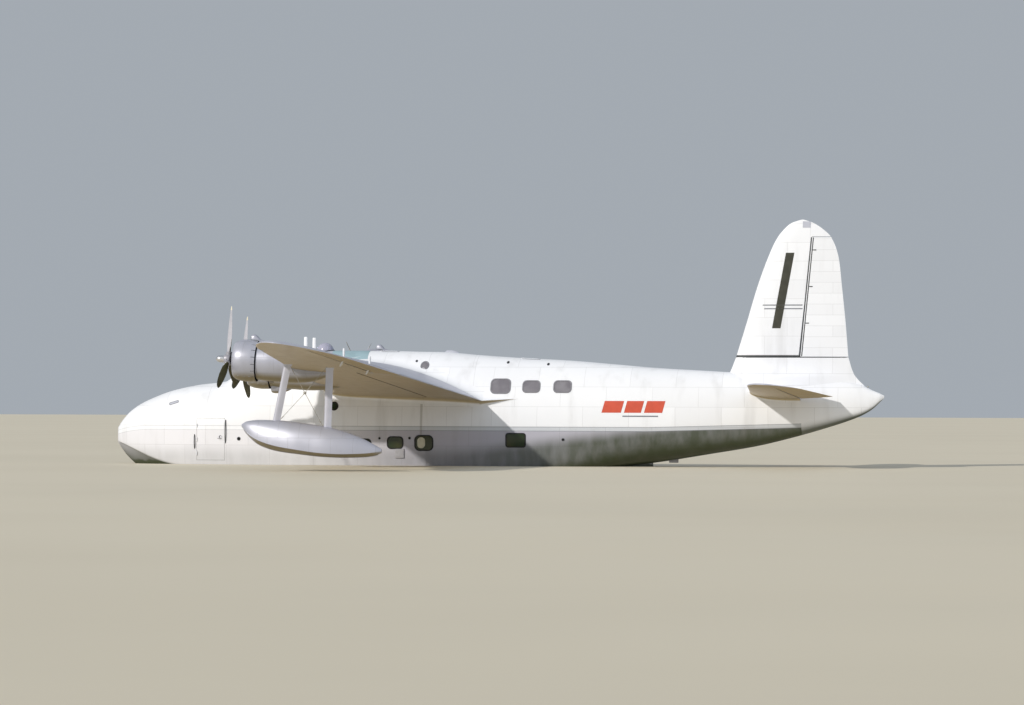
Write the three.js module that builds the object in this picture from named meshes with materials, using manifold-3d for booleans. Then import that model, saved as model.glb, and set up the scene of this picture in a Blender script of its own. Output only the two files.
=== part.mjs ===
// Four-engined passenger flying boat, afloat: hull, cockpit, wings, tail, engines and wing floats.
// Millimetres. +X is aft, +Y is to starboard, +Z is up.
// The origin is on the centreline at the waterline. A station is a distance aft of the nose tip.

import * as THREE from 'three';
import { mergeVertices } from 'three/addons/utils/BufferGeometryUtils.js';
import Module from 'manifold-3d';

const wasm = await Module();
wasm.setup();

// Driving dimensions

const NOSE = 9600; // from the nose tip back to the origin
const GAP = 0.3; // between pieces that touch
const CLEAR = 8; // round pieces that move
const COVE = 8; // more than that over a control surface's half thickness, in the cove of its nose
const STEP = 11200; // station of the main step
const STERN_POST = 18600; // station of the rear step, a vertical knife edge
const LENGTH = 26290;
const SEMI_SPAN = 17190;
const HULL_POWER = 2.2; // of the superellipse over the hull's widest line

// Hull stations. Columns: station, keel height, chine height, chine half-breadth,
// height of the widest line, its half-breadth, roof height.
const HULL = [
  [0, 740, 790, 60, 1000, 90, 1220],
  [90, 600, 740, 170, 1010, 230, 1345],
  [260, 360, 680, 320, 1040, 400, 1560],
  [500, 110, 590, 480, 1080, 580, 1800],
  [900, -200, 430, 690, 1120, 800, 2065],
  [1400, -480, 230, 880, 1150, 990, 2290],
  [2000, -740, 50, 1050, 1160, 1150, 2500],
  [2900, -1020, -120, 1220, 1160, 1300, 2690],
  [3960, -1230, -240, 1350, 1150, 1415, 2830],
  [4850, -1340, -310, 1420, 1130, 1480, 3560],
  [5400, -1390, -340, 1450, 1120, 1510, 3790],
  [6200, -1440, -370, 1480, 1100, 1530, 3850],
  [7600, -1500, -400, 1520, 1080, 1550, 3860],
  [9600, -1540, -420, 1545, 1050, 1550, 3850],
  [11200, -1550, -420, 1550, 1030, 1550, 3820],
  [11201, -1330, -420, 1500, 1030, 1550, 3820],
  [12740, -1230, -385, 1360, 1010, 1530, 3710],
  [13900, -1130, -340, 1190, 1000, 1480, 3630],
  [15800, -930, -200, 840, 1060, 1350, 3530],
  [17500, -710, -10, 400, 1220, 1180, 3390],
  [18600, -560, 120, 60, 1370, 1050, 3295],
  [20600, 440, 440, 60, 1600, 830, 3180],
  [22100, 700, 700, 60, 1800, 650, 3090],
  [23400, 1020, 1020, 60, 1950, 500, 3000],
  [24300, 1280, 1280, 50, 2050, 400, 2920],
  [25100, 1540, 1540, 45, 2130, 300, 2830],
  [25550, 1720, 1720, 40, 2170, 220, 2730],
  [25900, 1930, 1930, 30, 2230, 150, 2560],
  [26160, 2170, 2170, 20, 2310, 90, 2450],
  [26290, 2300, 2300, 10, 2335, 35, 2380],
];

// Upper hull, cut across where its main skin joints are. Columns: name, from, to.
const HULL_SECTIONS = [
  ['bow_fairing', 0, 2900],
  ['hull_forward', 2900, 7600],
  ['hull_centre', 7600, 12740],
  ['hull_aft', 12740, STERN_POST],
  ['tail_cone', STERN_POST, LENGTH],
];

// Cockpit, in the top of the forward hull
const CANOPY = { from: 3990, to: 6400, sill: 2930, wall: 40 };
const FLIGHT_DECK = { from: 4380, to: 6300, half: 930, floor: 1980 };
// Windscreen panes. Columns: inner y, outer y, bottom, top.
const WINDSCREEN = [
  [50, 430, 3050, 3460],
  [490, 830, 3030, 3330],
];
// Side windows. Columns: from, to, bottom, top.
const SIDE_WINDOWS = [
  [4960, 5340, 3080, 3460],
  [5420, 5800, 3080, 3470],
  [5880, 6240, 3080, 3470],
];

// Instrument panel with its lower part and the throttle box. Columns: from, to, half-width, bottom, top.
const DECK_TOP = FLIGHT_DECK.floor + GAP;
const PANEL = [
  [4400, 4520, 820, 2600, 2900],
  [4440, 4520, 300, DECK_TOP, 2650],
  [4500, 4760, 170, 2450, 2640],
];
// A pilot's seat: pedestal, cushion and back, in the same columns
const SEAT = [
  [5080, 5320, 90, DECK_TOP, 2260],
  [4960, 5440, 240, 2250, 2380],
  [5380, 5480, 230, 2370, 2960],
];
const SEAT_SPAN = 480;

// Roof fittings. Columns: name, station, top height.
const DOME = { station: 7330, height: 3838, radius: 290 };
const MASTS = [
  ['roof_mast_front', 6640, 4330],
  ['roof_mast_rear', 6940, 4300],
];
const MAST = { foot: 3700, topRadius: 60, footRadius: 72, flatness: 0.5 };

// Entry door, on the port side, and the lobby behind it
const DOOR = { from: 3200, to: 4200, bottom: 150, top: 1550, thick: 60 };
const LOBBY = { from: 3060, to: 4360, bottom: 60, top: 1650, inner: -450 };

// Pads, each by two corners: station, distance to starboard, height
const BEACHING_PAD = [[10150, -1592, 250], [10450, -1480, 560]];
const TAIL_PAD = [[19150, -70, 130], [19450, 70, 420]];

// Wing, by straight edges that meet the rounded tip. A span distance is outboard from the centreline.
const WING = {
  side: 1500,
  leading: 7540,
  leadingSweep: 0.109,
  trailing: 13090,
  trailingSweep: -0.111,
  trailingHeight: 2164,
  trailingRise: 0.0957,
  incidence: THREE.MathUtils.degToRad(6.15),
  roundFrom: 14200,
  roundCentre: 0.45,
  rootThickness: 0.205,
  tipThickness: 0.095,
  rootCamber: 0.06,
  tipCamber: 0.042,
};
const WING_SPANS = [700, 4200, 8500, 12000, 14200, 15000, 15700, 16300, 16750, 17040, 17170];
const AIRFOIL_STEPS = [0, 0.015, 0.06, 0.14, 0.26, 0.4, 0.56, 0.72, 0.87, 1];

// Control surfaces
const AILERON = { inner: 9450, outer: 15700, innerChord: 910, outerChord: 560, overhang: 45 };
const FLAP = { inner: 1900, outer: 9230, chord: 1450, bulge: 110 };
const BALANCE_POSTS = { spans: [10300, 12750], behindHinge: 160, up: 330, down: 230, lean: -110, radius: 38 };

// Engines. Columns: name, span, station of the propeller, height of the hub, nacelle stretch,
// angle of the propeller in degrees, and whether an oil cooler hangs under the nacelle.
const ENGINES = [
  ['outer_left', -8500, 6430, 3440, 1.0, 2, false],
  ['inner_left', -4200, 5700, 3238, 1.18, 354, true],
  ['inner_right', 4200, 5700, 3238, 1.18, 60, true],
  ['outer_right', 8500, 6430, 3440, 1.0, 60, false],
];
const TOE_OUT = THREE.MathUtils.degToRad(4.25);
const THRUST_TILT = THREE.MathUtils.degToRad(3.5);
const ROUND = 20; // sides of a cowling
const COWL_BORE = 620;
const BLADE_TIP = 1690;
const BLADE_PLANE = -80; // blades ahead of the engine's own datum
const BLADES = 3;
const CYLINDERS = 7;

// Wing float stations. Columns: station, keel height, chine height, half-breadth, deck height.
const FLOAT_SPAN = 12900;
const FLOAT = [
  [8030, 1330, 1365, 25, 1410],
  [8200, 1110, 1200, 180, 1500],
  [8600, 780, 950, 340, 1545],
  [9200, 600, 765, 450, 1530],
  [9900, 510, 650, 500, 1460],
  [10600, 440, 560, 490, 1360],
  [11200, 420, 530, 430, 1220],
  [11700, 430, 540, 320, 1040],
  [12150, 470, 570, 170, 820],
  [12400, 560, 610, 40, 680],
];
// Float struts. Columns: name, top station, top height, foot station, foot height.
const FLOAT_STRUTS = [
  ['front', 9430, 3230, 9070, 1430],
  ['rear', 10740, 3130, 10680, 1260],
];
const STRUT = { chord: 235, thickness: 75 };
// Crossed bracing wires between the struts. Columns: station and height of one end, and of the other.
const WIRES = [
  [9530, 3200, 10600, 1300],
  [10680, 3140, 9130, 1440],
];
const WIRE_RADIUS = 9;
const WIRE_CROSSING = { station: 10005, height: 2364, radius: 38, stretch: 1.3 };

// Tail
const TAILPLANE = {
  tip: 5450,
  leading: 21850,
  leadingSweep: 0.11,
  trailing: 24780,
  trailingSweep: -0.165,
  height: 2400,
  rise: 0.051,
  pivot: 23200,
  incidence: THREE.MathUtils.degToRad(3.5),
  roundFrom: 4200,
  roundCentre: 0.42,
  rootThickness: 0.13,
  tipThickness: 0.1,
};
const TAILPLANE_SPANS = [250, 2200, 4200, 4650, 5000, 5250, 5400];
const ELEVATOR = { inner: 620, outer: 4850, innerStation: 23640, outerStation: 23330, overhang: 45 };
// Fin and rudder outline. Columns: height, leading station, trailing station, thickness ratio.
const FIN = [
  [3655, 21380, 25110, 0.11],
  [4750, 21720, 25020, 0.108],
  [6020, 22100, 24890, 0.104],
  [6900, 22420, 24790, 0.1],
  [7590, 22740, 24550, 0.095],
  [7900, 22990, 24240, 0.09],
  [8100, 23230, 23930, 0.085],
  [8200, 23440, 23740, 0.08],
];
const RUDDER = { bottom: 3665, top: 7610, capBottom: 7636 };
const RUDDER_HINGE = { topStation: 23940, top: 7650, footStation: 23560, foot: 3640, halves: [160, 58], overhang: 70 };
// Fin root fairing. Columns: height, leading station, trailing station, thickness ratio.
const FIN_FAIRING = [
  [2600, 20700, 25740, 0.1],
  [3100, 21150, 25290, 0.105],
  [3640, 21380, 25110, 0.11],
];

// Colours of the paints and metals
const PAINTS = {
  white: [0xe9eaee, 0.45, 0],
  bottom: [0x7c8076, 0.6, 0],
  silver: [0xb4b5c4, 0.5, 0.25],
  metal: [0x8f9096, 0.4, 0.8],
  blade: [0xa7a8b0, 0.35, 0.8],
  dark: [0x2b2c2e, 0.6, 0.1],
  leather: [0x5a4636, 0.7, 0],
  glass: [0xaab2c6, 0.1, 0],
};

// Solids

const point = (station, y, z) => new THREE.Vector3(station - NOSE, y, z);
const lerp = THREE.MathUtils.lerp;

// A table's columns at a place between its rows
function tableAt(table, place) {
  const next = Math.max(1, table.findIndex((row) => row[0] >= place));
  const low = table[next - 1];
  const high = table[next];
  const share = (place - low[0]) / (high[0] - low[0]);
  return low.map((value, column) => lerp(value, high[column], share));
}

// The places of a table's rows inside a stretch, with the stretch's two ends
function placesBetween(table, from, to) {
  const inside = table.map((row) => row[0]).filter((place) => place > from + 1 && place < to - 1);
  return [from, ...inside, to];
}

// Skin through rings of points. Point 0 and the middle point of a ring are its two poles.
// The two sides' faces are mirror images, and the end caps join each point to its like across.
function loft(rings) {
  const count = rings[0].length;
  const indices = [];
  for (let ring = 0; ring < rings.length - 1; ring += 1) {
    for (let k = 0; k < count; k += 1) {
      const a = ring * count + k;
      const b = ring * count + ((k + 1) % count);
      if (k < count / 2) indices.push(a, b, b + count, a, b + count, a + count);
      else indices.push(a, b, a + count, b, b + count, a + count);
    }
  }
  const cap = (start, flip) => {
    for (let k = 0; k < count / 2; k += 1) {
      const corners = [k, k + 1, count - k - 1, (count - k) % count].map((i) => start + i);
      const faces = [
        [corners[0], corners[1], corners[2]],
        [corners[0], corners[2], corners[3]],
      ];
      for (const face of faces) {
        if (new Set(face).size === 3) indices.push(...(flip ? face.reverse() : face));
      }
    }
  };
  cap(0, true);
  cap((rings.length - 1) * count, false);
  const geometry = new THREE.BufferGeometry();
  geometry.setAttribute('position', new THREE.Float32BufferAttribute(rings.flat().flatMap((p) => p.toArray()), 3));
  geometry.setIndex(indices);
  return solid(geometry);
}

function signedVolume(positions, indices) {
  const corner = (i) => new THREE.Vector3().fromArray(positions, 3 * indices[i]);
  let volume = 0;
  for (let i = 0; i < indices.length; i += 3) {
    volume += corner(i).dot(corner(i + 1).cross(corner(i + 2))) / 6;
  }
  return volume;
}

// A closed geometry as a solid with its faces out
function solid(geometry) {
  geometry.deleteAttribute('normal');
  geometry.deleteAttribute('uv');
  const merged = mergeVertices(geometry, 1e-4);
  const positions = new Float32Array(merged.attributes.position.array);
  const all = Array.from(merged.index.array);
  const kept = [];
  for (let i = 0; i < all.length; i += 3) {
    const face = all.slice(i, i + 3);
    if (new Set(face).size === 3) kept.push(...face);
  }
  if (signedVolume(positions, kept) < 0) kept.reverse();
  return new wasm.Manifold(new wasm.Mesh({
    numProp: 3,
    vertProperties: positions,
    triVerts: new Uint32Array(kept),
  }));
}

function geometryOf(body) {
  const mesh = body.getMesh();
  const geometry = new THREE.BufferGeometry();
  geometry.setAttribute('position', new THREE.BufferAttribute(new Float32Array(mesh.vertProperties), 3));
  geometry.setIndex(new THREE.BufferAttribute(new Uint32Array(mesh.triVerts), 1));
  return geometry;
}

// The largest of the separate bodies that a cut leaves
function largest(body) {
  const pieces = body.decompose();
  return pieces.reduce((best, piece) => (piece.volume() > best.volume() ? piece : best));
}

const mirrored = (body) => solid(geometryOf(body).scale(1, -1, 1));
const join = (bodies) => bodies.reduce((all, body) => all.add(body));

// A block by its two corners, in stations
function block(low, high) {
  const from = point(...low);
  const to = point(...high);
  const size = to.clone().sub(from);
  const centre = from.clone().add(to).multiplyScalar(0.5);
  return solid(new THREE.BoxGeometry(size.x, size.y, size.z).translate(...centre.toArray()));
}

// A round bar between two points
function bar(from, to, startRadius, endRadius, sides) {
  const along = to.clone().sub(from);
  const geometry = new THREE.CylinderGeometry(endRadius, startRadius, along.length(), sides);
  geometry.translate(0, along.length() / 2, 0);
  const turn = new THREE.Quaternion().setFromUnitVectors(new THREE.Vector3(0, 1, 0), along.normalize());
  geometry.applyQuaternion(turn).translate(...from.toArray());
  return solid(geometry);
}

// A profile of [x, radius] turned round the X axis
function turned(profile, sides) {
  const geometry = new THREE.LatheGeometry(profile.map(([x, radius]) => new THREE.Vector2(radius, x)), sides);
  return solid(geometry.rotateZ(-Math.PI / 2));
}

const model = new THREE.Group();

function addPiece(name, body, paint, parent = model) {
  const [color, roughness, metalness] = PAINTS[paint];
  const material = new THREE.MeshStandardMaterial({ color, roughness, metalness });
  const mesh = new THREE.Mesh(geometryOf(body), material);
  mesh.name = name;
  parent.add(mesh);
}

function addPair(name, body, paint) {
  addPiece(`${name}_left`, body, paint);
  addPiece(`${name}_right`, mirrored(body), paint);
}

// Hull

// Half section from the floor's centre by the chine and the widest line to the roof's centre:
// a quarter ellipse up to the widest line, and a superellipse over it.
function hullRing(station, inset = 0) {
  const [, , chine, chineHalf, wide, wideHalf, roof] = tableAt(HULL, station);
  const half = [[0, chine + inset]];
  for (let k = 0; k < 3; k += 1) {
    const angle = (k / 3) * (Math.PI / 2);
    const y = lerp(chineHalf, wideHalf, Math.sin(angle)) - inset;
    const z = lerp(chine, wide, 1 - Math.cos(angle)) + inset * Math.cos(angle);
    half.push([y, z]);
  }
  for (let k = 0; k < 7; k += 1) {
    const angle = (k / 7) * (Math.PI / 2);
    const y = (wideHalf - inset) * Math.cos(angle) ** (2 / HULL_POWER);
    const z = wide + (roof - inset - wide) * Math.sin(angle) ** (2 / HULL_POWER);
    half.push([y, z]);
  }
  const port = half.map(([y, z]) => point(station, -y, z));
  const starboard = half.slice(1).reverse().map(([y, z]) => point(station, y, z));
  return [...port, point(station, 0, roof - inset), ...starboard];
}

const hullBody = (from, to, inset = 0) => loft(
  placesBetween(HULL, from, to).map((station) => hullRing(station, inset)),
);

// V section with hollow flanks, from the keel to the chines
function bottomRing(station) {
  const [, keel, chine, chineHalf] = tableAt(HULL, station);
  const top = chine - GAP;
  const flank = [chineHalf * 0.55, lerp(keel, top, 0.4)];
  return [
    point(station, 0, keel),
    point(station, -flank[0], flank[1]),
    point(station, -chineHalf, top),
    point(station, 0, top),
    point(station, chineHalf, top),
    point(station, flank[0], flank[1]),
  ];
}

const bottomBody = (from, to) => loft(placesBetween(HULL, from, to).map(bottomRing));

const hull = Object.fromEntries(HULL_SECTIONS.map(([name, from, to]) => {
  const end = to === LENGTH ? to : to - GAP;
  return [name, hullBody(from, end)];
}));

// Cockpit canopy, hollow and with its windows cut, and the flight deck under it
const OUTSIDE = 2000; // beyond the hull's side
const OVER = 4200; // over the hull's roof
const canopyBlock = block([CANOPY.from, -OUTSIDE, CANOPY.sill], [CANOPY.to, OUTSIDE, OVER]);
const canopyInside = hullBody(CANOPY.from - 200, CANOPY.to + 200, CANOPY.wall);
let canopy = hullBody(CANOPY.from - 400, CANOPY.to + 400).intersect(canopyBlock).subtract(canopyInside);
for (const [inner, outer, bottom, top] of WINDSCREEN) {
  for (const side of [-1, 1]) {
    const edges = [side * inner, side * outer].sort((a, b) => a - b);
    canopy = canopy.subtract(block([3900, edges[0], bottom], [4900, edges[1], top]));
  }
}
for (const [from, to, bottom, top] of SIDE_WINDOWS) {
  canopy = canopy.subtract(block([from, -OUTSIDE, bottom], [to, OUTSIDE, top]));
}
const canopySpace = block(
  [CANOPY.from - GAP, -OUTSIDE, CANOPY.sill - GAP],
  [CANOPY.to + GAP, OUTSIDE, OVER],
);
const deckSpace = block(
  [FLIGHT_DECK.from, -FLIGHT_DECK.half, FLIGHT_DECK.floor],
  [FLIGHT_DECK.to, FLIGHT_DECK.half, 3200],
);

// Entry door: a patch of the side, with the lobby open behind it
const doorBlock = (grow) => block(
  [DOOR.from - grow, -OUTSIDE, DOOR.bottom - grow],
  [DOOR.to + grow, -900, DOOR.top + grow],
);
const doorShell = hullBody(2905, 5200).subtract(hullBody(2905, 5200, DOOR.thick));
const door = doorShell.intersect(doorBlock(0));
const lobby = hullBody(2905, 5200, DOOR.thick + CLEAR).intersect(
  block([LOBBY.from, -OUTSIDE, LOBBY.bottom], [LOBBY.to, LOBBY.inner, LOBBY.top]),
);
hull.hull_forward = hull.hull_forward
  .subtract(canopySpace)
  .subtract(deckSpace)
  .subtract(lobby)
  .subtract(doorBlock(CLEAR));

for (const [name] of HULL_SECTIONS) addPiece(name, hull[name], 'white');
addPiece('planing_bottom_forward', bottomBody(0, STEP), 'bottom');
addPiece('planing_bottom_aft', bottomBody(STEP + 1, STERN_POST), 'bottom');
addPiece('cockpit_canopy', largest(canopy), 'white');
addPiece('entry_door', largest(door), 'white');

// Flight deck fittings, standing on its floor: each is joined from blocks about a line fore and aft
const stand = (blocks, middle) => join(blocks.map(([from, to, half, bottom, top]) => (
  block([from, middle - half, bottom], [to, middle + half, top])
)));
addPiece('instrument_panel', stand(PANEL, 0), 'dark');
addPiece('pilot_seat_left', stand(SEAT, -SEAT_SPAN), 'leather');
addPiece('pilot_seat_right', stand(SEAT, SEAT_SPAN), 'leather');

// Hull fittings
const hullSkin = hullBody(2950, 14500, -GAP);
const tailSkin = hullBody(STERN_POST - 600, LENGTH, -GAP);
const dome = solid(new THREE.SphereGeometry(DOME.radius, 14, 8).translate(DOME.station - NOSE, 0, DOME.height));
addPiece('observation_dome', largest(dome.subtract(hullSkin)), 'glass');

for (const [name, station, top] of MASTS) {
  const length = top - MAST.foot;
  const mast = new THREE.CylinderGeometry(MAST.topRadius, MAST.footRadius, length, 12).rotateX(Math.PI / 2);
  mast.scale(1, MAST.flatness, 1).translate(station - NOSE, 0, MAST.foot + length / 2);
  addPiece(name, largest(solid(mast).subtract(hullSkin)), 'white');
}

// Fittings for the beaching gear's legs and for the tail trolley
addPair('beaching_fitting', largest(block(...BEACHING_PAD).subtract(hullSkin)), 'metal');
addPiece('tail_trolley_fitting', largest(block(...TAIL_PAD).subtract(tailSkin)), 'metal');

// Airfoils

// Thickness and camber of a section at a share of its chord, as ratios of the chord
function airfoilAt(share, thickness, camber, up) {
  const x = share;
  const polynomial = 0.2969 * Math.sqrt(x) - 0.126 * x - 0.3516 * x ** 2 + 0.2843 * x ** 3 - 0.1036 * x ** 4;
  const peak = 0.4;
  const line = x < peak
    ? (camber / peak ** 2) * (2 * peak * x - x ** 2)
    : (camber / (1 - peak) ** 2) * (1 - 2 * peak + 2 * peak * x - x ** 2);
  return line + (up ? 5 : -5) * thickness * polynomial;
}

// A closed section: leading edge, upper side, trailing edge, lower side
function airfoilRing(place) {
  const inner = AIRFOIL_STEPS.slice(1, -1);
  return [
    place(0, true),
    ...inner.map((share) => place(share, true)),
    place(1, true),
    ...inner.reverse().map((share) => place(share, false)),
  ];
}

// Wing

// Edges, chord height and section of the port wing at a span
function wingAt(span) {
  const out = span - WING.side;
  const leadingLine = WING.leading + WING.leadingSweep * out;
  const trailingLine = WING.trailing + WING.trailingSweep * out;
  const straightChord = trailingLine - leadingLine;
  const round = Math.max(0, (span - WING.roundFrom) / (SEMI_SPAN - WING.roundFrom));
  const full = Math.sqrt(1 - round ** 2);
  const chord = straightChord * full;
  const leading = leadingLine + WING.roundCentre * straightChord * (1 - full);
  const trailingHeight = WING.trailingHeight + WING.trailingRise * out;
  const slope = Math.tan(WING.incidence);
  const leadingHeight = trailingHeight + slope * (trailingLine - leading);
  const share = THREE.MathUtils.clamp(out / (WING.roundFrom - WING.side), 0, 1);
  return {
    leading,
    chord,
    leadingHeight,
    slope,
    thickness: lerp(WING.rootThickness, WING.tipThickness, share),
    camber: lerp(WING.rootCamber, WING.tipCamber, share),
  };
}

function wingPoint(span, share, up) {
  const at = wingAt(span);
  const height = at.chord * airfoilAt(share, at.thickness, at.camber, up);
  return point(
    at.leading + share * at.chord,
    -span,
    at.leadingHeight - at.slope * share * at.chord + height,
  );
}

function wingMiddle(span, backFromTrailing) {
  const share = 1 - backFromTrailing / wingAt(span).chord;
  const upper = wingPoint(span, share, true);
  const lower = wingPoint(span, share, false);
  return { centre: upper.clone().lerp(lower, 0.5), half: upper.distanceTo(lower) / 2 };
}

const fullWing = loft(WING_SPANS.map((span) => airfoilRing((share, up) => wingPoint(span, share, up))));

// Axes of a hinge line on the port side: aft, outboard along the hinge, and upward.
// They are a left-handed set, so a shape placed by them is turned inside out and back by solid().
function hingeFrame(from, to, aft) {
  const along = to.clone().sub(from).normalize();
  const back = aft.clone().addScaledVector(along, -aft.dot(along)).normalize();
  const up = new THREE.Vector3().crossVectors(along, back);
  return new THREE.Matrix4().makeBasis(back, along, up).setPosition(from);
}

// The space of a control surface: all that is behind the hinge line, and a round nose on the line
function controlSpace(from, to, aft, radii, nose, grow) {
  const frame = hingeFrame(from, to, aft);
  const span = from.distanceTo(to) + 2 * grow;
  const box = new THREE.BoxGeometry(4000, span, 3000).translate(2000 - nose, span / 2 - grow, 0);
  const round = new THREE.CylinderGeometry(radii[1] + grow, radii[0] + grow, span, 20);
  round.translate(0, span / 2 - grow, 0);
  return solid(box.applyMatrix4(frame)).add(solid(round.applyMatrix4(frame)));
}

// Radii of a nose and of its cove, at both ends of a control surface with these half thicknesses
const noseRadii = (ends) => ends.map((half) => half * 0.94);
const coveRadii = (ends) => ends.map((half) => half + COVE);

const chordAft = new THREE.Vector3(Math.cos(WING.incidence), 0, -Math.sin(WING.incidence));

const aileronInner = wingMiddle(AILERON.inner, AILERON.innerChord);
const aileronOuter = wingMiddle(AILERON.outer, AILERON.outerChord);
const aileronLine = [aileronInner.centre, aileronOuter.centre, chordAft];
const aileronEnds = [aileronInner.half, aileronOuter.half];
let aileron = fullWing.intersect(controlSpace(...aileronLine, noseRadii(aileronEnds), 0, 0));
const aileronCove = controlSpace(...aileronLine, coveRadii(aileronEnds), AILERON.overhang, CLEAR);

// Mass balance posts, above and below the aileron just behind its hinge
for (const span of BALANCE_POSTS.spans) {
  const share = (span - AILERON.inner) / (AILERON.outer - AILERON.inner);
  const foot = aileronInner.centre.clone().lerp(aileronOuter.centre, share);
  foot.addScaledVector(chordAft, BALANCE_POSTS.behindHinge);
  const top = new THREE.Vector3(0, 0, BALANCE_POSTS.up).add(foot);
  const low = new THREE.Vector3(BALANCE_POSTS.lean, 0, -BALANCE_POSTS.down).add(foot);
  const radius = BALANCE_POSTS.radius;
  aileron = aileron.add(bar(foot, top, radius, radius * 0.8, 8)).add(bar(foot, low, radius * 0.8, radius, 8));
}

// Flap: its upper side is an arc about a line far below the wing, along which it runs out
const flapInner = wingPoint(FLAP.inner, 1, true);
const flapOuter = wingPoint(FLAP.outer, 1, true);
const flapFrame = hingeFrame(flapInner, flapOuter, chordAft);
const flapLength = flapInner.distanceTo(flapOuter);
const FLAP_RADIUS = ((FLAP.chord / 2) ** 2 + FLAP.bulge ** 2) / (2 * FLAP.bulge);
const flapCentre = [-FLAP.chord / 2, FLAP.bulge - FLAP_RADIUS];

// The space under the arc, grown by a clearance
function flapSpace(grow) {
  const radius = FLAP_RADIUS + grow;
  const outline = new THREE.Shape();
  const reach = THREE.MathUtils.degToRad(26);
  const steps = 12;
  for (let k = 0; k <= steps; k += 1) {
    const angle = lerp(-reach, reach, k / steps);
    const corner = [flapCentre[0] + radius * Math.sin(angle), flapCentre[1] + radius * Math.cos(angle)];
    if (k === 0) outline.moveTo(...corner);
    else outline.lineTo(...corner);
  }
  outline.lineTo(flapCentre[0] + radius * Math.sin(reach), -900);
  outline.lineTo(flapCentre[0] - radius * Math.sin(reach), -900);
  const length = flapLength + 2 * grow;
  const prism = new THREE.ExtrudeGeometry(outline, { depth: length, bevelEnabled: false, steps: 1 });
  prism.rotateX(Math.PI / 2).translate(0, length - grow, 0);
  return solid(prism.applyMatrix4(flapFrame));
}

const flap = largest(fullWing.intersect(flapSpace(0)));
const wing = largest(fullWing.subtract(hullSkin).subtract(aileronCove).subtract(flapSpace(CLEAR)));
addPair('wing', wing, 'silver');
addPair('flap', flap, 'silver');
addPair('aileron', largest(aileron), 'silver');

// The wing's skin grown by the gap, for what is fastened to it
const wingSkin = loft(WING_SPANS.map((span) => airfoilRing((share, up) => {
  const skin = wingPoint(span, share, up);
  skin.z += share === 0 || share === 1 ? 0 : (up ? 2 * GAP : -2 * GAP);
  skin.x += share === 0 ? -2 * GAP : 0;
  return skin;
})));

// Engines

const NACELLE_FRONT = 895;
const NACELLE_STRAIGHT = 1350; // stretched behind here
// Columns: x behind the propeller, centre height, half-width, height over and under the centre
const NACELLE = [
  [NACELLE_FRONT, 0, 585, 585, 585],
  [NACELLE_STRAIGHT, 0, 615, 615, 615],
  [1900, -10, 600, 595, 610],
  [2400, -45, 520, 470, 540],
  [2800, -100, 390, 300, 390],
  [3200, -170, 170, 100, 150],
];
const NACELLE_SIDES = 20;
// Intake on top of the nacelle, a short scoop over the rear of the cowling.
// Columns: x behind the engine's datum, half-width, foot, crown.
const INTAKE = [
  [600, 60, 682, 760],
  [640, 110, 682, 835],
  [720, 125, 682, 845],
  [820, 120, 682, 790],
  [890, 105, 682, 720],
  [905, 100, 540, 705],
  [1150, 80, 480, 640],
  [1500, 50, 400, 590],
];
// Oil cooler under an inner nacelle, in the same columns
const COOLER = [
  [905, 150, -430, -690],
  [925, 200, -420, -755],
  [1040, 225, -400, -785],
  [1230, 205, -400, -770],
  [1450, 130, -400, -690],
  [1620, 40, -420, -600],
];

// Rings with a flat foot, upright sides and a ridged crown
const fairingBody = (table) => loft(table.map(([x, half, foot, crown]) => [
  new THREE.Vector3(x, 0, foot),
  new THREE.Vector3(x, -half, foot),
  new THREE.Vector3(x, -half, lerp(foot, crown, 0.7)),
  new THREE.Vector3(x, 0, crown),
  new THREE.Vector3(x, half, lerp(foot, crown, 0.7)),
  new THREE.Vector3(x, half, foot),
]));

function nacelleBody(stretch, cooled) {
  const rings = NACELLE.map(([x, centre, half, over, under]) => {
    const along = x + Math.max(0, x - NACELLE_STRAIGHT) * (stretch - 1);
    return Array.from({ length: NACELLE_SIDES }, (_, k) => {
      const angle = (k / NACELLE_SIDES) * 2 * Math.PI;
      const rise = Math.cos(angle);
      return new THREE.Vector3(along, half * Math.sin(angle), centre + rise * (rise > 0 ? over : under));
    });
  });
  const nacelle = loft(rings).add(fairingBody(INTAKE));
  return cooled ? nacelle.add(fairingBody(COOLER)) : nacelle;
}

// Ring cowling, open in front and behind
const COWLING = [
  [120, 520],
  [170, 590],
  [275, 640],
  [415, 664],
  [640, 668],
  [870, 646],
  [870, COWL_BORE],
  [330, COWL_BORE],
  [225, 565],
  [155, 490],
  [120, 520],
];

// Crankcase with its nose, the baffle plate that carries the cowling, and the back of the engine
const CRANKCASE = [
  [-10, 0],
  [-10, 110],
  [230, 190],
  [290, 270],
  [570, 270],
  [570, COWL_BORE - GAP],
  [600, COWL_BORE - GAP],
  [620, 300],
  [NACELLE_FRONT - GAP, 300],
  [NACELLE_FRONT - GAP, 0],
];

function engineBody() {
  let engine = turned(CRANKCASE, ROUND);
  for (let k = 0; k < CYLINDERS; k += 1) {
    const turn = (k / CYLINDERS) * 2 * Math.PI;
    const cylinder = new THREE.CylinderGeometry(84, 96, 360, 6).translate(0, 410, 0);
    engine = engine.add(solid(cylinder.rotateX(turn).translate(430, 0, 0)));
  }
  return engine;
}

const HUB = [
  [-480, 0],
  [-455, 75],
  [-370, 112],
  [-210, 116],
  [-200, 165],
  [-18, 165],
  [-18, 0],
];
// Propeller blade. Columns: radius, chord, thickness, pitch in degrees.
const BLADE = [
  [100, 110, 110, 55],
  [270, 130, 90, 53],
  [520, 215, 56, 48],
  [900, 255, 38, 39],
  [1350, 225, 22, 31],
  [1600, 140, 12, 28],
  [BLADE_TIP, 40, 6, 27],
];

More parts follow.
